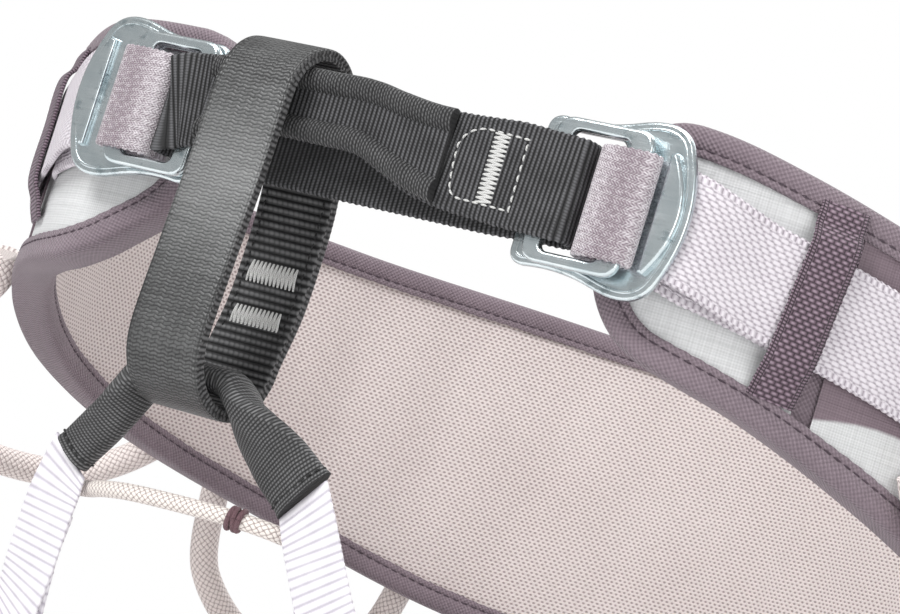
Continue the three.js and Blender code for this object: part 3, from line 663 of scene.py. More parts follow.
def even(path, pitch, start=0.0):
    """Points at an even pitch along a path, with the direction there and the index of the path."""
    s = lengths(path)
    at = np.arange(start, s[-1], pitch)
    pts = np.stack([np.interp(at, s, path[:, i]) for i in range(3)], 1)
    ways = unit(np.stack([np.interp(at + 0.3, s, path[:, i]) - np.interp(at - 0.3, s, path[:, i])
                          for i in range(3)], 1))
    return pts, ways, np.interp(at, s, np.arange(len(path)))


# ---------- bridge keeper cord ----------
def make_cord():
    """A short cord between the two leg webs, with a thread ring sewn round it."""
    route = [(-50, -93.9, -86.2), (-43.5, -94.2, -85.6), (-37, -98.2, -84.8), (-28, -101.6, -83.9),
             (-14, -102.2, -83.2), (-1, -101.2, -82.9), (5.5, -98, -83.1), (10, -94.6, -83.6),
             (13.5, -93.9, -84.2)]
    path, _ = spline(route, 0.6)
    b = Build()
    b.tube(path, CORD_R, "cord_braid", 20, 8)
    cord = b.make("bridge_keeper_cord", "waist_belt", ["bridge_cord"], "braid", 70)
    b = Build()
    i = int(np.argmin(np.abs(path[:, 0] - KNOT_X)))
    along = unit(path[i + 1] - path[i - 1])
    across = unit(np.cross(along, (0, 0, 1)))
    over = np.cross(across, along)
    for k, lean in ((-1.1, 0.25), (0.0, -0.15), (1.1, 0.3)):
        a = np.linspace(0, 2 * math.pi, 40)
        ring = (path[i] + along * k + np.outer(np.cos(a) * 2.15, across) + np.outer(np.sin(a) * 2.15, over)
                + np.outer(np.sin(a) * lean, along))
        b.tube(ring, 0.62, "knot_brown", 10, 3)
    knot = b.make("cord_thread_ring", "waist_belt", (), "braid", 70)
    length = float(np.linalg.norm(np.diff(path, axis=0), axis=1).sum()) * MM
    [tuple(q * MM) for q in path]


make_cord()


# ---------- bands ----------
class Band:
    """A band round an oval plan: phi along it in degrees, z up, n out of its mid surface."""

    def __init__(self, plan, centre, low, high):
        self.plan, self.centre, self.low, self.high = plan, centre, low, high
        self.phis = np.linspace(low, high, 1500)
        x, y = plan(self.phis)
        self.s = np.concatenate([[0], np.cumsum(np.hypot(np.diff(x), np.diff(y)))])
        self.length = self.s[-1]

    def phi(self, d):
        return np.interp(d, self.s, self.phis)

    def at(self, phi, z, n):
        phi, z, n = np.broadcast_arrays(np.asarray(phi, float), z, n)
        x, y = self.plan(phi)
        ax, ay = self.plan(phi - 0.3)
        bx, by = self.plan(phi + 0.3)
        tx, ty = bx - ax, by - ay
        size = np.hypot(tx, ty)
        side = np.where(ty * (x - self.centre[0]) - tx * (y - self.centre[1]) > 0, 1, -1)
        return np.stack([x + side * ty / size * n, y - side * tx / size * n, z + 0 * x], -1)

    def along(self, phi):
        return unit(self.at(phi + 0.3, 0, 0) - self.at(phi - 0.3, 0, 0))

    def out(self, phi):
        return unit(self.at(phi, 0, 1) - self.at(phi, 0, 0))


def stationed(rows):
    """A smooth curve through rows of (place, value)."""
    a = np.array(rows, float)

    def value(phi):
        phi = np.asarray(phi, float)
        i = np.clip(np.searchsorted(a[:, 0], phi), 1, len(a) - 1)
        p, q = a[i - 1], a[i]
        before, after = a[np.maximum(i - 2, 0)], a[np.minimum(i + 1, len(a) - 1)]
        gap = q[..., 0] - p[..., 0]
        t = np.clip((phi - p[..., 0]) / gap, 0, 1)
        m0 = (q[..., 1] - before[..., 1]) / (q[..., 0] - before[..., 0]) * gap
        m1 = (after[..., 1] - p[..., 1]) / (after[..., 0] - p[..., 0]) * gap
        return hermite(t, p[..., 1], q[..., 1], m0, m1)
    return value


def edges(band, shape, d, inset):
    """A band's lower and upper edge at distance d, with rounded ends."""
    phi = band.phi(d)

    def pull(e, rc):
        r = rc - inset
        x = np.clip(e - inset, 0, r)
        return r - np.sqrt(np.maximum(r * r - (r - x) ** 2, 0))
    cut = pull(d, shape["rc"]) + pull(band.length - d, shape["rc"])
    return shape["bot"](phi) + inset + cut, shape["top"](phi) - inset - cut


def columns(band, shape, inset, step):
    r = shape["rc"] - inset
    arc = r * (1 - np.cos(np.linspace(0, math.pi / 2, 7)))
    middle = np.linspace(inset + r, band.length - inset - r,
                         math.ceil((band.length - 2 * inset - 2 * r) / step) + 1)[1:-1]
    return np.concatenate([inset + arc, middle, (band.length - inset - arc)[::-1]])


def pad_sheets(band, shape, inset, step, rows, n_in, n_out):
    """Inner and outer sheets of a padded band as grids of points, with their distance and height."""
    d = columns(band, shape, inset, step)
    low, high = edges(band, shape, d, inset)
    t = np.linspace(0, 1, rows)
    z = low[:, None] + (high - low)[:, None] * t[None]
    dd = np.repeat(d[:, None], rows, 1)
    phi = band.phi(dd)
    return dd, z, band.at(phi, z, n_in), band.at(phi, z, n_out)


def rest_of_pad(band, shape, inner, outer, dd, z, free, cap_in, cap_out, pressure=4.0):
    """Blows the pad up a little with cloth under pressure, its edge held, and gives both sheets back."""
    n, k = inner.shape[:2]
    low, high = edges(band, shape, dd[:, 0], 0)
    near = np.minimum.reduce([z - low[:, None], high[:, None] - z, dd, band.length - dd])
    held = near < free
    co = np.concatenate([inner.reshape(-1, 3), outer.reshape(-1, 3)]) * MM
    faces = []
    for i in range(n - 1):
        for j in range(k - 1):
            a, b, c, e = i * k + j, (i + 1) * k + j, (i + 1) * k + j + 1, i * k + j + 1
            faces.append((a, b, c, e))
            faces.append((n * k + e, n * k + c, n * k + b, n * k + a))
    rim = rim_cells(n, k)
    for (i, j), (p, q) in zip(rim, rim[1:] + rim[:1]):
        a, b = i * k + j, p * k + q
        faces.append((b, a, n * k + a, n * k + b))
    me = bpy.data.meshes.new("pad_cloth")
    me.from_pydata(co.tolist(), [], faces)
    me.update()
    outward(me)
    ob = linked("pad_cloth", me)
    group = ob.vertex_groups.new(name="held")
    index = np.nonzero(np.concatenate([held.ravel(), held.ravel()]))[0]
    group.add([int(i) for i in index], 1.0, "REPLACE")
    cloth = ob.modifiers.new("Cloth", "CLOTH")
    s = cloth.settings
    s.quality, s.mass, s.time_scale = 5, 0.15, 1.0
    s.use_pressure, s.uniform_pressure_force = True, pressure
    s.tension_stiffness = s.compression_stiffness = 12
    s.shear_stiffness, s.bending_stiffness = 6, 0.6
    s.vertex_group_mass = "held"
    s.effector_weights.gravity = 0
    cloth.collision_settings.use_collision = False
    scene = bpy.context.scene
    cloth.point_cache.frame_start, cloth.point_cache.frame_end = 1, 20
    for f in range(1, 21):
        scene.frame_set(f)
    new = coordinates(ob.evaluated_get(bpy.context.evaluated_depsgraph_get()).to_mesh()) / MM
    scene.frame_set(1)
    bpy.data.objects.remove(ob)
    bpy.data.meshes.remove(me)
    old = co / MM
    move = new - old
    size = np.linalg.norm(move, axis=1)
    cap = np.concatenate([np.full(n * k, cap_in), np.full(n * k, cap_out)])
    scale = np.where(size > 1e-9, cap * np.tanh(size / cap) / np.maximum(size, 1e-9), 0)
    new = old + move * scale[:, None]
    print("pad moved at most", round(float(size.max()), 2), "mm before the cap")
    return new[:n * k].reshape(n, k, 3), new[n * k:].reshape(n, k, 3)


def closed_sheet(build, lower, upper, u, v, e, mat_low, mat_up, mat_rim=None):
    """Two grids of points joined round their rim into one body."""
    n, k = lower.shape[:2]
    build.grid(lower, u, v, e, mat_low)
    build.grid(upper[:, ::-1], u[:, ::-1], v[:, ::-1], e[:, ::-1], mat_up)
    rim = rim_cells(n, k)
    ring = np.array([[lower[i, j], upper[i, j]] for i, j in rim])
    s = np.arange(len(rim) + 1)[:, None] * np.ones((1, 2)) * 2.0
    w = np.ones((len(rim) + 1, 1)) * np.array([[0.0, 1.0]])
    build.grid(ring, s, w, w, mat_rim or mat_low, loop_u=True)


def padding(name, body, band, shape, replaced, sheets, blown):
    """One padded core: its object, its grids of distance and height, both sheets, and -1 to 1 across."""
    inset = sheets[0]
    dd, z, inner, outer = pad_sheets(band, shape, *sheets)
    inner, outer = rest_of_pad(band, shape, inner, outer, dd, z, *blown)
    low, high = edges(band, shape, dd[:, 0], inset)
    side = (z - (low + high)[:, None] / 2) / ((high - low)[:, None] / 2)
    b = Build()
    closed_sheet(b, inner, outer - unit(outer - inner) * PAD_SKIN, dd, z, side, "mesh_lining", "mauve_twill")
    return b.make(name, body, replaced, "mesh_fabric", 60), dd, z, inner, outer, side


def binding_profile(n_in, n_out, width):
    """U section round an edge: (inwards from the edge, out of the mid surface), with a sunk stitch line."""
    i, o = n_in, n_out
    return np.array([
        (width, i + 0.35), (width, i - 0.35), (width - 0.5, i - 0.62), (width - 1.2, i - 0.62),
        (width - 1.6, i - 0.35), (width - 2.0, i - 0.68), (width * 0.45, i - 0.85), (1.6, i - 0.75),
        (0.35, i - 0.3), (-0.2, i + 0.9), (-0.35, (i + o) / 2), (-0.2, o - 0.9), (0.35, o + 0.3),
        (1.6, o + 0.75), (width * 0.45, o + 0.85), (width - 2.0, o + 0.68), (width - 1.6, o + 0.35),
        (width - 1.2, o + 0.62), (width - 0.5, o + 0.62), (width, o + 0.35), (width, o - 0.35),
        (1.2, o - 0.3), (0.6, (i + o) / 2), (1.2, i + 0.3)])


def binding(name, band, shape, n_in, n_out, width, body, replaced, pitch=2.6, step=2.2):
    """Tape folded over the band's whole edge and stitched through near its inner rim."""
    d = np.unique(np.round(columns(band, shape, 0.0, step), 4))
    low, high = edges(band, shape, d, 0.0)
    outline = np.concatenate([np.stack([d, low], 1), np.stack([d, high], 1)[::-1]])
    keep = np.concatenate([[True], np.linalg.norm(np.diff(outline, axis=0), axis=1) > 0.05])
    outline = outline[keep]
    # the straight ends need points of their own
    dense, _ = spline(np.c_[outline, np.zeros(len(outline))], 2.4, True)
    dense = dense[:, :2]
    t = unit(np.roll(dense, -2, 0) - np.roll(dense, 2, 0))
    inward = np.stack([-t[:, 1], t[:, 0]], 1)
    sec = binding_profile(n_in, n_out, width)
    pucker = 0.10 * np.sin(np.arange(len(dense)) * 2.1) + 0.06 * np.sin(np.arange(len(dense)) * 0.37)

    def point(k, m):
        dd = np.clip(dense[:, 0] + inward[:, 0] * k, 0.001, band.length - 0.001)
        return band.at(band.phi(dd), dense[:, 1] + inward[:, 1] * k, m)
    rows = []
    for j, (k, m) in enumerate(sec):
        lift = pucker if 3 <= j <= 7 else (-pucker if 13 <= j <= 17 else 0)
        rows.append(point(k + (pucker if j in (0, 1, 2, 17, 18, 19) else 0), m - lift * 0.8))
    pts = np.stack(rows, 1)
    ring = lengths(dense)
    ring = np.append(ring, ring[-1] + np.linalg.norm(dense[0] - dense[-1]))
    across = lengths(np.r_[sec, sec[:1]])
    u = np.repeat(ring[:, None], len(across), 1)
    v = np.repeat(across[None], len(ring), 0)
    e = v * 0
    b = Build()
    b.grid(pts, u, v, e, "mauve_twill", True, True)
    for n_face, sign in ((n_in - 0.42, -1), (n_out + 0.42, 1)):
        line = point(width - 1.6, n_face)
        line = np.concatenate([line, line[:1]])
        places, ways, where = even(line, pitch)
        j = np.clip(where.astype(int), 0, len(dense) - 1)
        ups = sign * band.out(band.phi(np.clip(dense[j, 0], 0.01, band.length - 0.01)))
        stitches(b, places, ups, ways, pitch * 0.76, 0.2, "thread_mauve", 5)
    return b.make(name, body, replaced, "mauve_fabric", sharp=60)


# ---------- waist belt ----------
def waist_plan(phi):
    c = np.cos(np.radians(phi))
    flat = -np.log(np.exp(-40 * c) + np.exp(-40 * 0.834)) / 40
    return 128 * np.sin(np.radians(phi)), 3.5 - 110 * flat


waist = Band(waist_plan, (0, 0), 26.7, 341.8)
waist_shape = {
    "rc": 13,
    "top": stationed([[20, 19], [35, 18.5], [45, 15.4], [60, 9.6], [80, 3.4], [100, -1], [125, -2.2],
                      [150, -2.6], [180, -5], [210, -2.6], [235, -2.2], [260, -1], [280, 3.4], [300, 9.6],
                      [315, 15.4], [325, 18], [345, 18]]),
    "bot": stationed([[20, -22], [27, -24.5], [34, -30], [45, -35.4], [60, -45], [80, -58], [100, -68.5],
                      [125, -78.5], [150, -88], [180, -91], [210, -88], [235, -78.5], [260, -68.5],
                      [280, -58], [295, -48.3], [306, -42], [316, -40], [323.5, -38.5], [329, -35],
                      [333, -30], [338, -22.5], [344, -12]])}


# where the light panel's seam runs on the outer face, from -1 at the lower edge to 1 at the upper
panel_seam = stationed([(40, -0.95), (50.9, -0.72), (54.9, -0.554), (60.8, -0.405), (72, -0.37),
                        (181, -0.37)])


def make_belt():
    pad, dd, z, inner, outer, side = padding(
        "waist_padding", "waist_belt", waist, waist_shape, ["waist_mesh_lining", "waist_foam"],
        (1.5, 4.6, 19, -3.7, 3.0), (6.6, 2.6, 0.7))
    phi = waist.phi(dd[:, 0])
    seam = (side - panel_seam(np.minimum(phi, 360 - phi))[:, None]) * 0.5
    for name, lo, hi, node, mat, slot, lift in (
            ("nose_cover_right", 26.0, 50.2, "nose_panel_right", "ripstop_light", "ripstop", 0.15),
            ("nose_cover_left", 309.8, 342.5, "nose_panel_left", "ripstop_light", "ripstop", 0.15),
            ("waist_shell_cover", 49.6, 310.4, "waist_shell", "mauve_shell", "mauve_fabric", 0.3)):
        pick = np.nonzero((phi >= lo) & (phi <= hi))[0]
        way = unit(outer - inner)[pick]
        face = outer[pick]
        b = Build()
        closed_sheet(b, face + way * (lift - 0.25), face + way * (lift + 0.3), dd[pick], z[pick], seam[pick],
                     mat, mat)
        b.make(name, "waist_belt", [node], slot, 60)
    binding("waist_edge_binding", waist, waist_shape, -4.4, 4.0, BELT_BINDING, "waist_belt",
            ["waist_binding"])


make_belt()


# ---------- buckles ----------
def placed(origin, x_axis, up, scale, mirror):
    """A buckle's own axes to the part's: x from its inner edge outwards, y out of its face, z up."""
    ex = unit(x_axis)
    ez = unit(np.array(up, float) - (np.array(up, float) @ ex) * ex)
    ey = np.cross(ex, ez)
    flip = np.array([-1 if mirror else 1, 1, 1])

    def at(x, y, z):
        x, y, z = np.broadcast_arrays(np.asarray(x, float), y, z)
        p = np.array(origin) + scale * (x[..., None] * ex + y[..., None] * ey + z[..., None] * ez)
        return p * flip
    return at


def outline(steps):
    """A closed outline from (x, z) corners and quadratic bends."""
    pts = []
    for s in steps:
        if len(s) == 2:
            pts.append(s)
        else:
            p, (cx, cz, x, z) = pts[-1], s
            for i in range(1, 13):
                t = i / 12
                pts.append(((1 - t)**2 * p[0] + 2 * t * (1 - t) * cx + t * t * x,
                            (1 - t)**2 * p[1] + 2 * t * (1 - t) * cz + t * t * z))
    return pts


def round_rect(x0, x1, h, r):
    return outline([(x0 + r, -h), (x1 - r, -h), (x1, -h, x1, -h + r), (x1, h - r), (x1, h, x1 - r, h),
                    (x0 + r, h), (x0, h, x0, h - r), (x0, -h + r), (x0, -h, x0 + r, -h)])


def resample(pts, n):
    p = np.array(pts, float)
    p = np.concatenate([p, p[:1]])
    s = lengths(p)
    at = np.arange(n) / n * s[-1]
    return np.stack([np.interp(at, s, p[:, 0]), np.interp(at, s, p[:, 1])], 1)


def pressed(build, at, outer, holes, y0, y1, bevel):
    """A flat outline with holes, given thickness and rounded edges by a filled curve."""
    curve = bpy.data.curves.new("pressed", "CURVE")
    curve.dimensions, curve.fill_mode = "2D", "BOTH"
    for loop in [outer, *holes]:
        sp = curve.splines.new("POLY")
        sp.points.add(len(loop) - 1)
        for q, (x, z) in zip(sp.points, loop):
            q.co = (x, z, 0, 1)
        sp.use_cyclic_u = True
    curve.extrude = (y1 - y0) / 2 - bevel
    curve.bevel_depth, curve.bevel_resolution, curve.offset = bevel, 5, -bevel
    ob = linked("pressed", curve)
    bpy.context.view_layer.update()
    me = ob.evaluated_get(bpy.context.evaluated_depsgraph_get()).to_mesh()
    co = coordinates(me)
    depth = co[:, 2] + (y0 + y1) / 2
    build.v.append(at(co[:, 0], depth, co[:, 1]))
    rim = np.clip(np.abs(co[:, 2]) / ((y1 - y0) / 2), 0, 1)
    for f in me.polygons:
        build.f.append(tuple(build.n + i for i in f.vertices))
        flat = abs(f.normal[2]) > 0.97
        for i in f.vertices:
            build.uv.append((co[i, 0], co[i, 1]))
            build.ed.append((0.0, 0.0 if flat else float(rim[i])))
        build.mi.append(build.mat("buckle_metal"))
    build.n += len(co)
    bpy.data.objects.remove(ob)
    bpy.data.curves.remove(curve)


def ridge(build, at, loop, y, width, height):
    """A low rounded ridge pressed along a closed line on a plate."""
    p = np.array(loop, float)
    t = unit(np.roll(p, -1, 0) - np.roll(p, 1, 0))
    side = np.stack([-t[:, 1], t[:, 0]], 1)
    prof = [(-width / 2, -0.25), (-width * 0.36, height * 0.45), (-width * 0.14, height * 0.95),
            (width * 0.14, height * 0.95), (width * 0.36, height * 0.45), (width / 2, -0.25)]
    pts = np.stack([at(p[:, 0] + side[:, 0] * a, y + h, p[:, 1] + side[:, 1] * a) for a, h in prof], 1)
    xs = np.concatenate([p, p[:1]])
    u = np.repeat(xs[:, :1], 6, 1) + np.array([a for a, _ in prof])[None]
    v = np.repeat(xs[:, 1:], 6, 1)
    e = np.repeat(np.array([[0, 0.5, 0.95, 0.95, 0.5, 0.0]]), len(xs), 0)
    build.grid(pts, u, v, e, "buckle_metal", loop_u=True)


PLATE = outline([(0, -12.5), (0, -15.8, 3.5, -15.8), (12, -14.8, 20, -17.2), (31.2, -20.6, 34, -13.5),
                 (40, 0, 34, 13.5), (31.2, 20.6, 20, 17.2), (12, 14.8, 3.5, 15.8), (0, 15.8, 0, 12.5)])
WINDOW = round_rect(4.3, 19, 13, 2.2)
FRAME_OUT = round_rect(4.5, 27, 15.2, 4)
FRAME_IN = round_rect(8.5, 22, 12.6, 2.0)


def shrink(loop, by, n=120):
    p = resample(loop, n)
    t = unit(np.roll(p, -1, 0) - np.roll(p, 1, 0))
    area = 0.5 * np.sum(p[:, 0] * np.roll(p[:, 1], -1) - np.roll(p[:, 0], -1) * p[:, 1])
    s = 1 if area > 0 else -1
    return p + s * by * np.stack([-t[:, 1], t[:, 0]], 1)


def make_buckle(prefix, at, body, frame_body, slip=0.0):
    b = Build()
    pressed(b, at, PLATE, [WINDOW], 0, 1.8, 0.6)
    ridge(b, at, shrink(WINDOW, -1.5), 1.8, 0.7, 0.16)
    ridge(b, at, shrink(PLATE, 1.6), 1.8, 0.8, 0.14)
    lip = outline([(29.9, -12.2), (31.2, -12.5), (39.8, 0, 31.2, 12.5), (29.9, 12.2), (29.9, 0),
                   (29.9, -12.2)])
    pressed(b, at, resample(lip, 160).tolist(), [], 1.2, 3.3, 0.7)
    b.make(prefix + "_plate_pressed", body, [prefix + "_plate"], "buckle_alloy", 35)
    b = Build()
    loops = [[(x + slip, z) for x, z in loop] for loop in (FRAME_OUT, FRAME_IN)]
    pressed(b, at, loops[0], [loops[1]], 3.8, 5.8, 0.7)
    b.make(prefix + "_frame_bar", frame_body, [prefix + "_frame"], "buckle_alloy", 35)


LEFT_SLIP = -5.0
right = placed((42.2, -96.6, -2.0), (1, 0, 0), (0, 0, 1), 1, False)
left = placed((40.0, -96.6, -1.6), (1, 0, 0), (0, 0, 1), 1, True)
make_buckle("waist_buckle_right", right, "waist_belt", "waist_frame_right")
make_buckle("waist_buckle_left", left, "waist_belt", "waist_frame_left", LEFT_SLIP)


def arc(cx, cy, r, a0, a1, n):
    a = np.radians(np.linspace(a0, a1, n + 1))
    return [(cx + r * math.cos(t), cy + r * math.sin(t)) for t in a]


def slid(rows, slip):
    return [(x + slip, y) for x, y in rows]


def strap_up(slip=0.0):
    return [(24, -2.75), *slid([(18.6, -2.75), (16.6, -2.2), (15.5, -0.6), (15.3, 1.7)], slip)]


def strap_turn(slip=0.0):
    return slid([(15.4, 2.2), (15.9, 4.2), (17.2, 5.9), (19.6, 6.9), (23, 7.2), (26.0, 6.9),
                 *arc(26.6, 4.8, 2, 75, -90, 6), (20.8, 2.8), (19.2, 2.5)], slip)


def strap_down(slip=0.0):
    return [*slid([(17.9, 1.7), (17.75, 0.7), (18.1, -0.4), (19.6, -1.0)], slip), (30, -1.0)]


def dark_turn(slip=0.0):
    return slid([(12.2, 6.8), (13, 6.4), (13.4, 5.4), (13.4, 2.4), (12.4, 0.3), (10.2, -0.8), (4, -1)], slip)


def strap(name, body, points, dirs, width, thick, mat, replaced, slot, ripple=(1.7, 0.14), step=0.55,
          square=False):
    path, par = spline(points, step)
    ways = dirs if np.ndim(dirs) == 1 else keyed(dirs, par)
    wide = keyed(width, par) if np.ndim(width) else width
    b = Build()
    b.sweep(path, ways, woven_sections(path, wide, thick, ripple), mat, square=square)
    return b.make(name, body, replaced, slot, 60)


def tape(name, body, points, dirs, width, thick, replaced, ripple=0.1, step=0.5):
    """A strip of the mauve keeper tape."""
    strap(name, body, points, dirs, width, thick, "keeper_basket", [replaced], "mauve_fabric",
          (0.95, ripple), step, True)


# ---------- waist straps and keepers ----------
strap_mid = stationed([[30, -4.0], [36, -5.8], [46, -9.2], [57, -13], [80, -24]])
UP = np.array([0.0, 0.0, 1.0])


def make_waist_straps():
    for name, at, side, slip in (("right", right, 1, 0.0), ("left", left, -1, LEFT_SLIP)):
        def on_belt(rows, mid=strap_mid):
            return [waist.at(p if side > 0 else 360 - p, mid(p), n) for p, n in rows]

        def local(rows, z=-0.6):
            return [at(x, y, z) for x, y in rows]
        load = [*on_belt([(58, 1.65), (53, 1.65), (49, 1.65), (47.3, 1.65), (45.9, 2.4), (44.5, 3.9),
                          (43.2, 4.75), (41, 4.9), (38.5, 5.1), (35.6, 5.6)]), *local(strap_up(slip))]
        strap(f"waist_load_strap_{name}", "waist_belt", load, UP, STRAP_W, WEB, "light_tail",
              [f"waist_strap_{name}"], "light_webbing")
        strap(f"waist_strap_roll_{name}", f"waist_frame_{name}", local(strap_turn(slip)), UP, STRAP_W, WEB,
              "light_roll", [f"waist_strap_turn_{name}"], "light_webbing", step=0.35)
        tail = [*local(strap_down(slip)), at(36.8, -1.4, -1.6),
                *on_belt([(42.6, 7.2), (45, 6.5), (48, 6.0), (52, 5.6), (58, 5.4), (65, 5.4), (73, 5.4),
                          (80, 5.4)])]
        strap(f"waist_tail_{name}", "waist_belt", tail, UP, STRAP_W, WEB, "light_tail",
              [f"waist_strap_tail_{name}"], "light_webbing")
        lean = lambda z: 47.9 + z * 0.044
        rows = [(4.4, 11.6), (5.2, 9.8), (5.9, 6.6), (7.7, 3.6), (7.9, -8), (7.7, -21.4), (6.0, -25.2),
                (5.1, -28), (4.3, -30)]
        keep = [waist.at(lean(z) if side > 0 else 360 - lean(z), z, n) for n, z in rows]
        tape(f"waist_keeper_tape_{name}", "waist_belt", keep, waist.along(47.5 if side > 0 else 312.5),
             10.5, 1.0, f"waist_keeper_{name}", 0.12, 0.6)


make_waist_straps()

# ---------- tie-in webbing and its wear guard ----------
FRONT_Y, BACK_Y = -103.4, -95.6


def make_tie_in():
    rows = []
    for x, mid, wide in ((-44, -0.4, 21.4), (-36, 1.2, 20), (-30, 3.4, 16.4), (-20, 4, 15.4), (-8, 4, 15.4),
                         (4, 3.8, 15.6), (12, 1.8, 17.2), (20, -0.2, 19.4), (28, -1, 20.6), (40, -1.2, 22)):
        rows.append((x, FRONT_Y, mid, wide))
    for x, y in dark_turn():
        p = right(x, y, 0)
        rows.append((p[0], p[1], -1.8, 21.4))
    for x in (34, 20, 6, -6, -20, -32):
        rows.append((x, BACK_Y, -2, 22))
    for x, y in dark_turn(LEFT_SLIP)[::-1]:
        p = left(x, y, 0)
        rows.append((p[0], p[1], -1.6, 21.4))
    rows = np.array(rows, float)
    path, par = spline(rows[:, :3], 0.42, True)
    wide = keyed(rows[:, 3], par, True)
    b = Build()
    b.sweep(path, UP, woven_sections(path, wide, WEB), "web_dark", closed=True)
    # white stitching: a D outline and a zigzag bar tack on the front run
    y = FRONT_Y - 0.78
    d = outline([(26.0, -5.0), (27.0, -6.2, 28.6, -6.2), (40.6, -6.6), (40.4, 8.4), (30.5, 8.9),
                 (25.4, 8.4, 24.6, 4.4), (25.0, -3.6, 26.0, -5.0)])
    line = np.array([(x + 2.3, y, z - 2.2) for x, z in d])
    places, ways, _ = even(line, 2.15, 0.4)
    stitches(b, places, np.tile([0, -1, 0], (len(places), 1)), ways, 1.45, 0.24, "thread_white")
    tack(b, (36.5, y, -1.0), (0, 0, 1), (1, 0, 0), (0, -1, 0), 14.6, 3.8, 15)
    b.make("tie_in_loop", "waist_belt", ["tie_in_webbing"], "dark_webbing", 60)


def tack(build, centre, along, across, up, length, width, count, radius=0.27):
    """A bar tack: a dense zigzag of white thread."""
    centre, along, across, up = (np.array(a, float) for a in (centre, along, across, up))
    t = np.linspace(-0.5, 0.5, 2 * count + 1)
    line = [centre + along * length * a + across * width * (0.5 if i % 2 else -0.5) for i, a in enumerate(t)]
    for i in range(len(line) - 1):
        a, c = line[i], line[i + 1]
        f = np.linspace(0, 1, 5)[:, None]
        path = a + (c - a) * f + up * (np.sin(f * math.pi) * radius * 1.1 - radius * 0.35)
        side = unit(np.cross(c - a, up))
        sec = round_sections(radius * np.array([0.7, 1, 1.05, 1, 0.7]), 6)
        build.sweep(path, side, sec, "thread_white", across=np.arange(7)[None] / 6)


def make_guard():
    rows = [(-37, 1.2, 9.2), (-30, 3.6, 7.8), (-20, 4, 7.7), (-6, 4, 7.7), (4, 3.8, 7.8), (12, 1.8, 8.6),
            (20, 0, 9.4), (25, -0.6, 9.8)]
    base = np.array([(x, FRONT_Y - 1.0, mid) for x, mid, h in rows], float)
    path, par = spline(base, 0.6)
    half = keyed([h for _, _, h in rows], par)
    secs = []
    for i, h in enumerate(half):
        wob = 0.16 * math.sin(path[i, 0] * 0.9) + 0.1 * math.sin(path[i, 0] * 2.3)
        top = [(h, 0.1), (h + 0.2, -0.8), (h - 0.2, -1.8 - wob), (h - 1.2, -2.45 - wob),
               (h - 2.4, -2.55 - wob), (h - 3.6, -2.2 - wob), (h - 4.4, -1.5), (h - 4.8, -0.92)]
        bottom = [(-a, c) for a, c in top[::-1]]
        mid = [(x * (h - 4.8), -0.9) for x in (0.5, 0.0, -0.5)]
        secs.append(top + mid + bottom + [(-h * 0.5, 0.1), (0, 0.1), (h * 0.5, 0.1)])
    secs = np.array(secs)
    secs = np.stack([secs[..., 0], -secs[..., 1]], -1)
    b = Build()
    b.sweep(path, UP, secs, lambda i, j: "web_dark" if 7 <= j <= 10 else "guard_grain", square=False)
    b.make("wear_guard_channel", "waist_belt", ["wear_guard"], "dark_webbing", 50)


make_tie_in()
make_guard()


# ---------- belay loop ----------
def make_belay():
    x0 = -20.8
    ring = [*arc(-99.9, 4, 11.8, 0, 180, 9), (-112.2, -12), (-113.2, -30),
            *arc(-100.3, -49.3, 13.8, 180, 360, 10), (-84.0, -38), (-83.4, -27), (-83.8, -15), (-85.8, -5)]
    path, _ = spline([(x0, y, z) for y, z in ring], 0.45, True)
    s = lengths(path)
    secs = []
    for i in range(len(path)):
        k = 1 + 0.012 * math.sin(2 * math.pi * s[i] / 1.3)
        h = 9.4
        half = [(-h * k, 1.05), (-h * 0.985, 1.3), (-h * 0.9, 1.36), (-h * 0.5, 1.38), (0, 1.38),
                (h * 0.5, 1.38), (h * 0.9, 1.36), (h * 0.985, 1.3), (h * k, 1.05), (h * k, 0.45),
                (h * 0.975, 0.06), (h * 0.975, -0.06), (h * k, -0.45)]
        secs.append(half + [(-a, -c) for a, c in half])
    secs = np.array(secs)
    b = Build()
    # which face lies outside the ring decides its weave
    t = unit(np.gradient(path, axis=0))
    m = np.cross(t[40], [1, 0, 0])
    outside = (m @ (path[40] - path.mean(0))) > 0
    first, second = ("belay_satin", "belay_ribs") if outside else ("belay_ribs", "belay_satin")

    def mat(_, j):
        return first if j <= 7 else second if 13 <= j <= 20 else "web_dark_edge"
    b.sweep(path, (1, 0, 0), secs, mat, closed=True)
    back = path[path[:, 1] > -96]
    back = back[np.argsort(back[:, 2])]

    def behind(z):
        return np.interp(z, back[:, 2], back[:, 1]) - 1.45
    for z in (-30.4, -40.6):
        tack(b, (x0, float(behind(z)) - 0.1, z), (1, 0, 0), (0, 0, 1), (0, -1, 0), 12.6, 4.8, 12, 0.3)
    # stitch lines along both edges of the back strand, and on the outer face
    for dx in (-7.6, 7.6):
        line = np.array([(x0 + dx, behind(z), z) for z in np.linspace(-2, -44, 30)])
        places, ways, _ = even(line, 2.3)
        stitches(b, places, np.tile([0, -1, 0], (len(places), 1)), ways, 1.5, 0.2, "thread_dark", 5)
    b.make("belay_loop_webbing", "belay_loop", ["belay_loop"], "belay_webbing", 50)


make_belay()


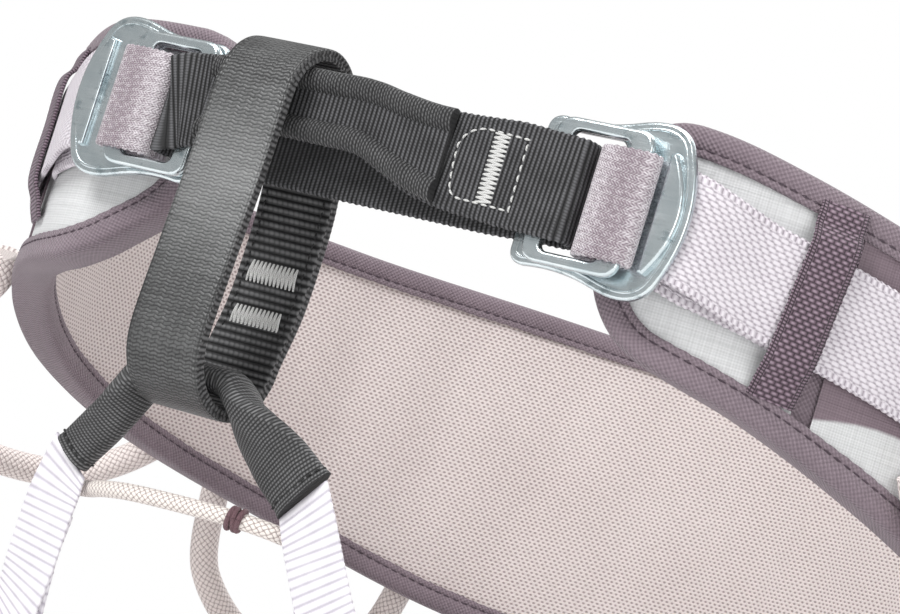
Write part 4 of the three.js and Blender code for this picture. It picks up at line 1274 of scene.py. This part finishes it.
# ---------- leg bridge ----------
def make_bridge():
    rows = [(-47, -98.5, -79.4, -0.8, 0, 0.6), (-43.5, -98.6, -74.6, -0.78, -0.15, 0.6),
            (-39.5, -99.1, -69.2, -0.66, -0.5, 0.5), (-36, -99.6, -63.6, -0.4, -0.85, 0.3),
            (-33, -100, -58.5, -0.05, -1, 0.05), (-30.7, -100.2, -56.5, 0, -1, 0),
            (-26, -100.3, -56.4, 0, -1, 0), (-20.8, -100.3, -56.3, 0, -1, 0),
            (-15, -100.3, -56.4, 0, -1, 0), (-11, -100.3, -56.7, 0, -1, 0),
            (-8.2, -100.2, -58.6, 0.08, -1, 0.06), (-4, -99.9, -62.9, 0.35, -0.8, 0.4),
            (1, -99.3, -66.6, 0.5, -0.5, 0.62), (6, -98.9, -70.2, 0.58, -0.2, 0.7),
            (12.6, -98.5, -74.8, 0.62, 0, 0.78)]
    path, par = spline([r[:3] for r in rows], 0.5)
    dirs = keyed([r[3:] for r in rows], par)
    t = par / par[-1]
    wide = 9.6 + 3.2 * np.clip((t - 0.62) / 0.2, 0, 1)

    def arm(at):
        """1 along both arms clear of the belay loop, 0 inside the loop and at the mouths."""
        from_middle = abs(at - 0.5)
        return float(np.clip((from_middle - 0.19) / 0.07, 0, 1) * np.clip((0.5 - from_middle) / 0.1, 0.2, 1))
    secs = []
    ang = np.arange(28) / 28 * 2 * math.pi
    s = lengths(path)
    for i in range(len(path)):
        swell = 3.1 - 0.5 * float(np.clip((t[i] - 0.88) / 0.12, 0, 1)) + 1.0 * arm(t[i])
        swell = swell + 0.12 * math.sin(s[i] * 0.55)
        lip = 1 + 0.05 * (math.exp(-(s[i] / 1.3) ** 2) + math.exp(-((s[-1] - s[i]) / 1.3) ** 2))
        c, d = np.cos(ang), np.sin(ang)
        a = np.sign(c) * np.abs(c) ** (0.85 - 0.22 * t[i]) * wide[i] / 2 * lip
        e = np.sign(d) * np.abs(d) ** 0.8 * swell * lip
        flap = float(np.clip((t[i] - 0.68) / 0.08, 0, 1))
        a = a + flap * 1.3 * np.clip((c - 0.84) / 0.14, 0, 1)
        crease = 0.22 * np.exp(-((a - 1.6) / 0.8) ** 2) * np.sign(d)
        secs.append(np.stack([a, e - crease], 1))
    b = Build()
    b.sweep(path, dirs, np.array(secs), "sleeve_weave", end_mat="thread_dark")
    # the seam round each mouth
    for end, off in ((0, 4), (-1, -5)):
        i = off if end == 0 else len(path) + off
        ring = path[i] + secs[i][:, :1] * dirs[i] * 1.02 + secs[i][:, 1:] * 1.04 * unit(
            np.cross(unit(path[min(i + 1, len(path) - 1)] - path[i - 1]), dirs[i]))
        ring = np.concatenate([ring, ring[:1]])
        places, ways, _ = even(ring, 1.9)
        ups = unit(places - path[i])
        stitches(b, places, ups, ways, 1.2, 0.2, "thread_dark", 5)
    b.make("bridge_sleeve_webbing", "leg_bridge", ["bridge_sleeve"], "dark_webbing", 60)


make_bridge()


# ---------- leg loops ----------
def leg_mid(psi):
    return -160 + 24 * np.cos(np.radians(psi + 20))


leg_half = stationed([[-4, 15], [20, 18], [60, 27], [110, 31], [200, 31], [250, 24], [290, 17], [312, 14]])
leg_shape = {"rc": 9, "top": lambda p: leg_mid(p) + leg_half(p), "bot": lambda p: leg_mid(p) - leg_half(p)}


def make_leg(name, m):
    leg = Band(lambda p: (m * (84 + 70 * np.sin(np.radians(p))), 8 - 94 * np.cos(np.radians(p))),
               (m * 84, 8), -1, 310)
    body = "leg_loop_" + name
    pad, dd, z, inner, outer, side = padding(
        f"leg_padding_{name}", body, leg, leg_shape, [f"leg_foam_{name}"],
        (1.3, 5.4, 13, -3.3, 2.8), (6.0, 2.2, 0.6))
    way = unit(outer - inner)
    b = Build()
    closed_sheet(b, outer, outer + way * 0.6, dd, z, 0 * side + 1, "mauve_shell", "mauve_shell")
    b.make(f"leg_shell_cover_{name}", body, [f"leg_shell_{name}"], "mauve_fabric", 60)
    binding(f"leg_edge_binding_{name}", leg, leg_shape, -3.9, 3.9, LEG_BINDING, body, [f"leg_binding_{name}"])
    at = placed((60.6, -93.6, -137), (0.98, -0.03, -0.16), (0, 0, 1), LEG_SCALE, m < 0)
    make_buckle(f"leg_buckle_{name}", at, body, f"leg_frame_{name}")
    up = unit(at(0, 0, 1) - at(0, 0, 0))
    w, th = STRAP_W * LEG_SCALE, WEB * LEG_SCALE

    def local(rows):
        return [at(x, y, 0) for x, y in rows]

    def on(psi, k, dz=0.0):
        return leg.at(psi, leg_mid(psi) + dz, k)

    def webbing(piece, node, points, dirs, width=w, step=0.55, mat="light_ribs", rides=body):
        strap(f"leg_{piece}_{name}", rides, points, dirs, width, th, mat, [f"leg_{node}_{name}"],
              "light_webbing", (1.05, 0.08), step)
    load = [*[on(p, k) for p, k in ((42, 4.9), (36, 4.9), (30, 4.9), (24, 5.0), (18, 5.3), (12, 5.7),
                                    (6, 6.0))], *local(strap_up())]
    webbing("load_strap", "strap", load, [UP] * 7 + [up] * 5)
    webbing("strap_roll", "strap_turn", local(strap_turn()), up, w, 0.3, "light_roll", f"leg_frame_{name}")
    tail = [*local(strap_down()), at(36.8, -1.1, 0),
            *[on(p, k) for p, k in ((6, 8.0), (11, 7.6), (17, 7.2), (23, 6.8), (29, 6.6), (35, 6.5),
                                    (41, 6.5), (48, 6.4), (56, 6.3))]]
    webbing("tail", "strap_tail", tail, [up] * 6 + [UP] * (len(tail) - 6))
    hug = [on(31, k, dz) for k, dz in ((4.6, 12.4), (5.4, 10.4), (7.9, 8.6), (8.0, 0), (7.9, -8.6),
                                       (5.4, -10.4), (4.6, -12.4))]
    tape(f"leg_keeper_tape_{name}", body, hug, leg.along(31), 8, 0.95, f"leg_keeper_{name}")
    if m > 0:
        first = [(13, -98.5, -75.15), (19.2, -98.4, -85.2), (25.5, -98.2, -95), (37, -97.6, -111),
                 (49, -97.2, -125)]
        keys = [(0.62, 0, 0.78), (0.85, 0, 0.53), (0.8, 0, 0.6), (0.62, 0, 0.78), up, up, up]
        top = [(28, -72, -127), (24.5, -88, -108), (20.8, -96.8, -89.5), (18.2, -97.2, -85)]
    else:
        first = [(-47.35, -98.5, -79.9), (-48.8, -98.4, -90), (-49.2, -98.3, -103), (-50.4, -97.8, -117),
                 (-54, -97.6, -128)]
        keys = [(-0.8, 0, 0.6), (-0.98, 0, 0.1), (-0.98, 0, 0.15), (-0.8, 0, 0.6), (-0.35, 0, 0.93), up, up]
        top = [(-41, -74, -133), (-50, -90, -117), (-50.6, -95.4, -103), (-48.8, -96.9, -90)]
    dive = local(dark_turn())
    points = [*first, at(-2, 6.6, 0), at(6, 6.8, 0), *dive, at(-4, -1.2, 0), at(-12, -1.6, 0.6)]
    dirs = keys + [up] * (len(points) - len(keys))
    webbing("front_web", "web", points, dirs, 13.4, 0.5)
    base = [on(295, 5.7), on(302, 5.8), on(308.5, 6)]
    dirs = [(0, 0, 1), (0, 0, 1), (0, 0, 1), (m * 0.3, 0, 0.9), (m * 0.6, 0, 0.8), (m * 0.95, 0, 0.3),
            (m * 0.9, 0, 0.4)]
    webbing("inner_web", "inner_strap", [*base, *top], dirs, 12.6, 0.6)
    make_riser(name, m, leg, body)


def make_riser(name, m, leg, body):
    """The rear riser: its anchor tape on the belt, the moulded hook over it and the elastic to the leg."""
    phi = 154 if m > 0 else 206
    anchor = [waist.at(phi + u / 1.98, -79, k) for u, k in ((-11.5, 4.9), (-8, 5.6), (-5.4, 8.6), (0, 9.2),
                                                            (5.4, 8.6), (8, 5.6), (11.5, 4.9))]
    tape(f"riser_anchor_tape_{name}", "waist_belt", anchor, UP, 9, 1.0, f"riser_anchor_{name}")
    hook = [waist.at(phi, zz, k) for k, zz in ((7.4, -82), (7.4, -72), (8.2, -70.4), (10.2, -70.4),
                                               (11.3, -72), (11.3, -97))]
    path, _ = spline(hook, 0.5)
    b = Build()
    b.sweep(path, waist.along(phi), strap_section(7, 1.6, 6, 6), "plastic_grey")
    bar = np.array([waist.at(phi + u / 1.98, -96.6, 11.2) for u in np.linspace(-5.6, 5.6, 15)])
    b.tube(bar, 1.0, "plastic_grey", 14, 2)
    b.make(f"riser_hook_moulded_{name}", body, [f"riser_hook_{name}"], "plastic", 50)
    seat, seat2 = leg.at(198, -152, 6.2), leg.at(198, -166, 5.8)
    e0, e1 = waist.at(phi, -97.5, 11.3), waist.at(phi, -116, 11)
    along = leg.along(198) * m
    pts = [e0, e1, e1 + (seat - e1) * 0.55 + (0, 2, 0), seat, seat2]
    tape(f"riser_elastic_tape_{name}", body, pts, [waist.along(phi)] * 2 + [along] * 3, 10, 1.0,
         f"riser_elastic_{name}", 0.1, 0.6)


make_leg("right", 1)
make_leg("left", -1)


# ---------- gear loops and haul loop ----------
def gear_loop(node, a, za, b_, zb, out, drop):
    mid, zm = (a + b_) / 2, (za + zb) / 2
    lerp = lambda p, q, t: p + (q - p) * t
    pts = [waist.at(a, za + 1, 8.8), waist.at(lerp(a, mid, 0.06), za - 4, 9),
           waist.at(lerp(a, mid, 0.3), lerp(za, zm, 0.3) - drop * 0.7, 8 + out * 0.6),
           waist.at(mid, zm - drop, 8 + out),
           waist.at(lerp(mid, b_, 0.7), lerp(zm, zb, 0.7) - drop * 0.7, 8 + out * 0.6),
           waist.at(lerp(mid, b_, 0.94), zb - 4, 9), waist.at(b_, zb + 1, 8.8)]
    path, _ = spline(pts, 1.0)
    build = Build()
    build.tube(path, GEAR_R, "gear_braid", 22, 14)
    build.make(node + "_braid", node, [node], "braid", 70)


gear_loop("gear_loop_front_right", 62, -36, 108, -65, 26, 30)
gear_loop("gear_loop_front_left", 298, -38, 251, -65, 26, 30)
gear_loop("gear_loop_rear_right", 117, -66, 145.5, -74, 12, 42)
gear_loop("gear_loop_rear_left", 243, -66, 214.5, -74, 12, 42)
haul = [waist.at(180, z, k) for k, z in ((6.2, -22), (6.4, -29), (13, -36), (15.5, -45), (13, -54),
                                         (6.4, -61), (6.2, -68))]
strap("haul_loop_webbing", "haul_loop", haul, (1, 0, 0), 12, WEB, "web_dark", ["haul_loop"], "dark_webbing")


# ---------- studio ----------
def make_studio():
    b = Build()
    n = 48
    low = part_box("leg_binding_right")[0].z / MM - 1.5
    a = np.arange(n) / n * 2 * math.pi
    ring = np.stack([np.cos(a), np.sin(a)], 1)
    radii = np.array([0, 150, 350, 600, 850, 1100.0])
    pts = np.array([[(r * c, r * s, low) for r in radii] for c, s in ring])
    u = np.array([[r * math.cos(t) for r in radii] for t in np.append(a, 0)])
    v = np.array([[r * math.sin(t) for r in radii] for t in np.append(a, 0)])
    b.grid(pts, u, v, v * 0, "floor_pale", loop_u=True)
    floor = b.make("floor", None)
    world = bpy.data.worlds.new("studio")
    bpy.context.scene.world = world
    world.use_nodes = True
    tree = world.node_tree
    back = tree.nodes["Background"]
    back.inputs["Color"].default_value = (1, 1, 1, 1)
    path = tree.nodes.new("ShaderNodeLightPath")
    step = tree.nodes.new("ShaderNodeMapRange")
    tree.links.new(path.outputs["Is Camera Ray"], step.inputs["Value"])
    step.inputs["To Min"].default_value = 0.4
    step.inputs["To Max"].default_value = 1.0
    tree.links.new(step.outputs["Result"], back.inputs["Strength"])
    for name, at, size, power in (("key", (-0.35, -1.3, 1.05), 0.7, 22), ("fill", (1.35, -0.9, 0.1), 1.1, 9),
                                  ("top", (0.1, 0.2, 1.4), 1.3, 12), ("back", (0.0, 1.4, 0.5), 1.1, 8)):
        data = bpy.data.lights.new(name, "AREA")
        data.shape, data.size, data.energy = "SQUARE", size, power
        lamp = linked(name, data)
        aim = Vector((0, -0.05, -0.04)) - Vector(at)
        lamp.location = at
        lamp.rotation_mode = "QUATERNION"
        lamp.rotation_quaternion = aim.to_track_quat("-Z", "Y")
    bpy.context.scene.view_settings.view_transform = "Standard"
    bpy.context.scene.view_settings.look = "None"


make_studio()
